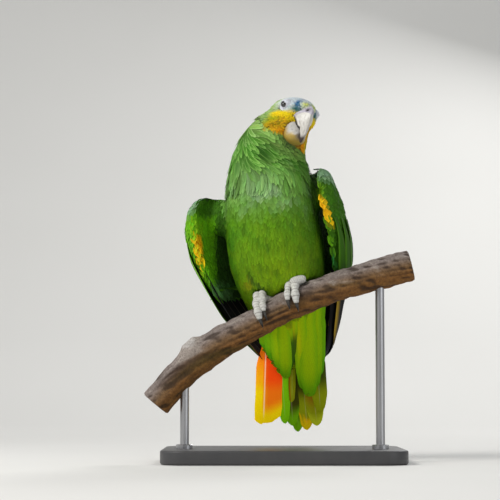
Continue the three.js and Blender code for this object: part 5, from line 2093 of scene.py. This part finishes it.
def claw_rings(leg, toe):
    _, end, along_by, _ = toe
    sign = 1 if end > 0 else -1
    t = np.linspace(0, 1, CLAW_RINGS)
    places = []
    for v in t:
        degrees = end * leg["curl"] + sign * (1.6 + 30 * v) - sign * 3.5 * (1 - v)
        lift = 3.3 + 0.8 * math.sin(2.4 * v) - 2.5 * v
        aside = leg["splay"] * along_by + leg["slant"] * (1 + 0.2 * v)
        places.append(on_branch(leg["x"], degrees, aside, lift))
    radii = 1.95 * (1 - 0.9 * t**1.15)
    ridge = 1 + 0.02 * np.sin(np.arange(CLAW_SIDES) * 2 * math.pi / CLAW_SIDES * 5)
    return rings_along(places, radii[:, None] * ridge, CLAW_SIDES), t


claw_paint = Paint("claw_horn", Specular_IOR_Level=0.5, Coat_Weight=0.2, Coat_Roughness=0.2)
claw_streak = claw_paint.noise(0.5, 4, stretch=(1, 1, 0.25))
claw_paint.bump(claw_streak, 0.06, 0.5)
claw_material = claw_paint.out(
    Base_Color=claw_paint.clouded(claw_streak, (150, 146, 140)), Roughness=0.28 + claw_streak * 0.2
)
SHIN_STEPS, PALM_STEPS, LIMB_SIDES = 30, 36, 24
for side, leg in LEGS.items():
    tubes, shades = zip(*(toe_rings(leg, toe) for toe in TOES))
    ankle = [on_branch(leg["x"], 0, 0, lift) for lift in (1.6, 3.4)]
    ankle = [spot + np.array([leg["base"], 0, 0.45 * leg["arch"] - 1.4]) for spot in ankle]
    shin_end = ankle[1] + np.array([8, 7, 0])
    shin_t = np.linspace(0, 1, SHIN_STEPS)
    shin_line = between([ankle[0], ankle[1], (ankle[1] + shin_end) / 2, shin_end], shin_t)
    shin_radii = 4.7 * (1 - 0.16 * shin_t) * np.sqrt(1 - np.clip(1 - shin_t / 0.14, 0, 1) ** 2 * 0.6)
    shin_bands = 0.12 * bands(shin_t, 8, 5)
    shin = rings_along(shin_line, shin_radii + shin_bands, LIMB_SIDES, up=(0, -1, 0))
    palm_t = np.linspace(0, 1, PALM_STEPS)
    palm_line = []
    for v in palm_t:
        aside, lift = leg["splay"] * 0.6 - 3.4 + leg["palm"] * v, 3.0 + leg["arch"] * (0.8 - 0.6 * v * v)
        palm_line.append(on_branch(leg["x"], 34 - 8 * v, aside, lift))
    palm_radii = 3.6 * np.sqrt(1 - np.clip(np.abs(2 * palm_t - 1), 0, 1) ** 4 * 0.9)
    palm_bands = 0.14 * bands(palm_t, 9, 5)
    palm = rings_along(palm_line, palm_radii + palm_bands, LIMB_SIDES, up=(0, -1, 0.5))
    tubes, shades = [*tubes, shin, palm], list(shades)
    for band in (shin_bands, palm_bands):
        shades.append(0.4 + 0.6 * (band / band.max())[:, None] * np.ones((1, LIMB_SIDES)))
    joined_tubes(f"toes_{side}", tubes, shades, foot_material, [f"foot_{side}"])
    for number, toe in enumerate(TOES, 1):
        rings, t = claw_rings(leg, toe)
        along = t[:, None] * np.ones((1, CLAW_SIDES))
        tone = blend(flat(rgb(66, 62, 56), *along.shape), rgb(38, 34, 30), smoothstep(0.3, 0.7, along))
        tone = blend(tone, rgb(150, 138, 116), smoothstep(0.8, 1.0, along))
        painted_tube(f"talon_{side}_{number}", rings, tone, claw_material, [f"claw_{side}_{number}"])
print("feet done after", round(time.time() - started, 1), "s")

# %% [markdown]
# ## The stand
#
# A plain painted slab with rounded edges carries two steel rods.

# %% Stand
def rounded_slab(wide, deep, high, corner, edge):
    bm = bmesh.new()
    bmesh.ops.create_cube(bm, size=1)
    bmesh.ops.scale(bm, vec=(wide * MM, deep * MM, high * MM), verts=bm.verts)
    bmesh.ops.translate(bm, vec=(0, 0, high / 2 * MM), verts=bm.verts)
    posts = [e for e in bm.edges if abs(e.verts[0].co.z - e.verts[1].co.z) > high * MM * 0.5]
    bmesh.ops.bevel(bm, geom=posts, offset=corner * MM, segments=16, profile=0.5, affect="EDGES", material=-1)
    rims = [
        e for e in bm.edges
        if abs(e.verts[0].co.z - e.verts[1].co.z) < 1e-6 and len(e.link_faces) == 2
        and 0.9 < sum(abs(face.normal.z) for face in e.link_faces) < 1.1
    ]
    bmesh.ops.bevel(bm, geom=rims, offset=edge * MM, segments=4, profile=0.5, affect="EDGES", material=-1)
    return bm


slab_paint = Paint("slab_lacquer", Specular_IOR_Level=0.4, Coat_Weight=0.15, Coat_Roughness=0.3)
slab_cloud = slab_paint.noise(14, 5)
slab_paint.bump(slab_paint.noise(0.8, 3), 0.05, 0.4)
slab_tone = slab_paint.mix(slab_cloud, rgba(58, 58, 60), rgba(72, 71, 71))
slab_material = slab_paint.out(Base_Color=slab_tone, Roughness=0.42 + slab_cloud * 0.15)
slab = rounded_slab(216, 150, 12, 22, 1.5)
finish_piece("slab", slab, slab_material, ["stand_base"], sharp=35)

steel = Paint("brushed_steel", Metallic=1.0)
steel_lines = steel.noise(1.5, 4, stretch=(1, 1, 0.03))
steel.bump(steel_lines, 0.03, 0.5)
steel_tone = steel.mix(steel_lines, rgba(150, 150, 152), rgba(196, 196, 198))
steel_material = steel.out(Base_Color=steel_tone, Roughness=0.26 + steel_lines * 0.16)
ROD_FOOT, ROD_RADIUS, ROD_STEPS, ROD_SIDES = 12.3, 4.0, 12, 32
for side, x in (("right", -88), ("left", 86)):
    t = float(np.interp(x, [row[0] for row in PERCH], np.linspace(0, 1, len(PERCH))))
    mid, rad, *_ = branch_frame(np.array([t]))
    top_z = float(mid[0, 2] - rad[0] * 0.8)
    line = np.array([[x, mid[0, 1], z] for z in np.linspace(ROD_FOOT, top_z, ROD_STEPS)])
    rings = rings_along(line, np.full(ROD_STEPS, ROD_RADIUS), ROD_SIDES, up=(0, 1, 0))
    finish_piece(f"rod_{side}", tube_of(rings), steel_material, [f"stand_rod_{side}"])
    collar_line = np.array([x, mid[0, 1], 0]) + np.outer([12.0, 12.1, 15.4, 16, 16.01], [0, 0, 1.0])
    collar = rings_along(collar_line, [7, 7.6, 7.6, 7, 4.1], ROD_SIDES, up=(0, 1, 0))
    finish_piece(f"rod_foot_{side}", tube_of(collar), steel_material, sharp=30)

# %% [markdown]
# ## Size of the finished model

# %% Size
low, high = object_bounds()
print("box", [round(v, 4) for v in (*low, *high)], "after", round(time.time() - started, 1), "s")
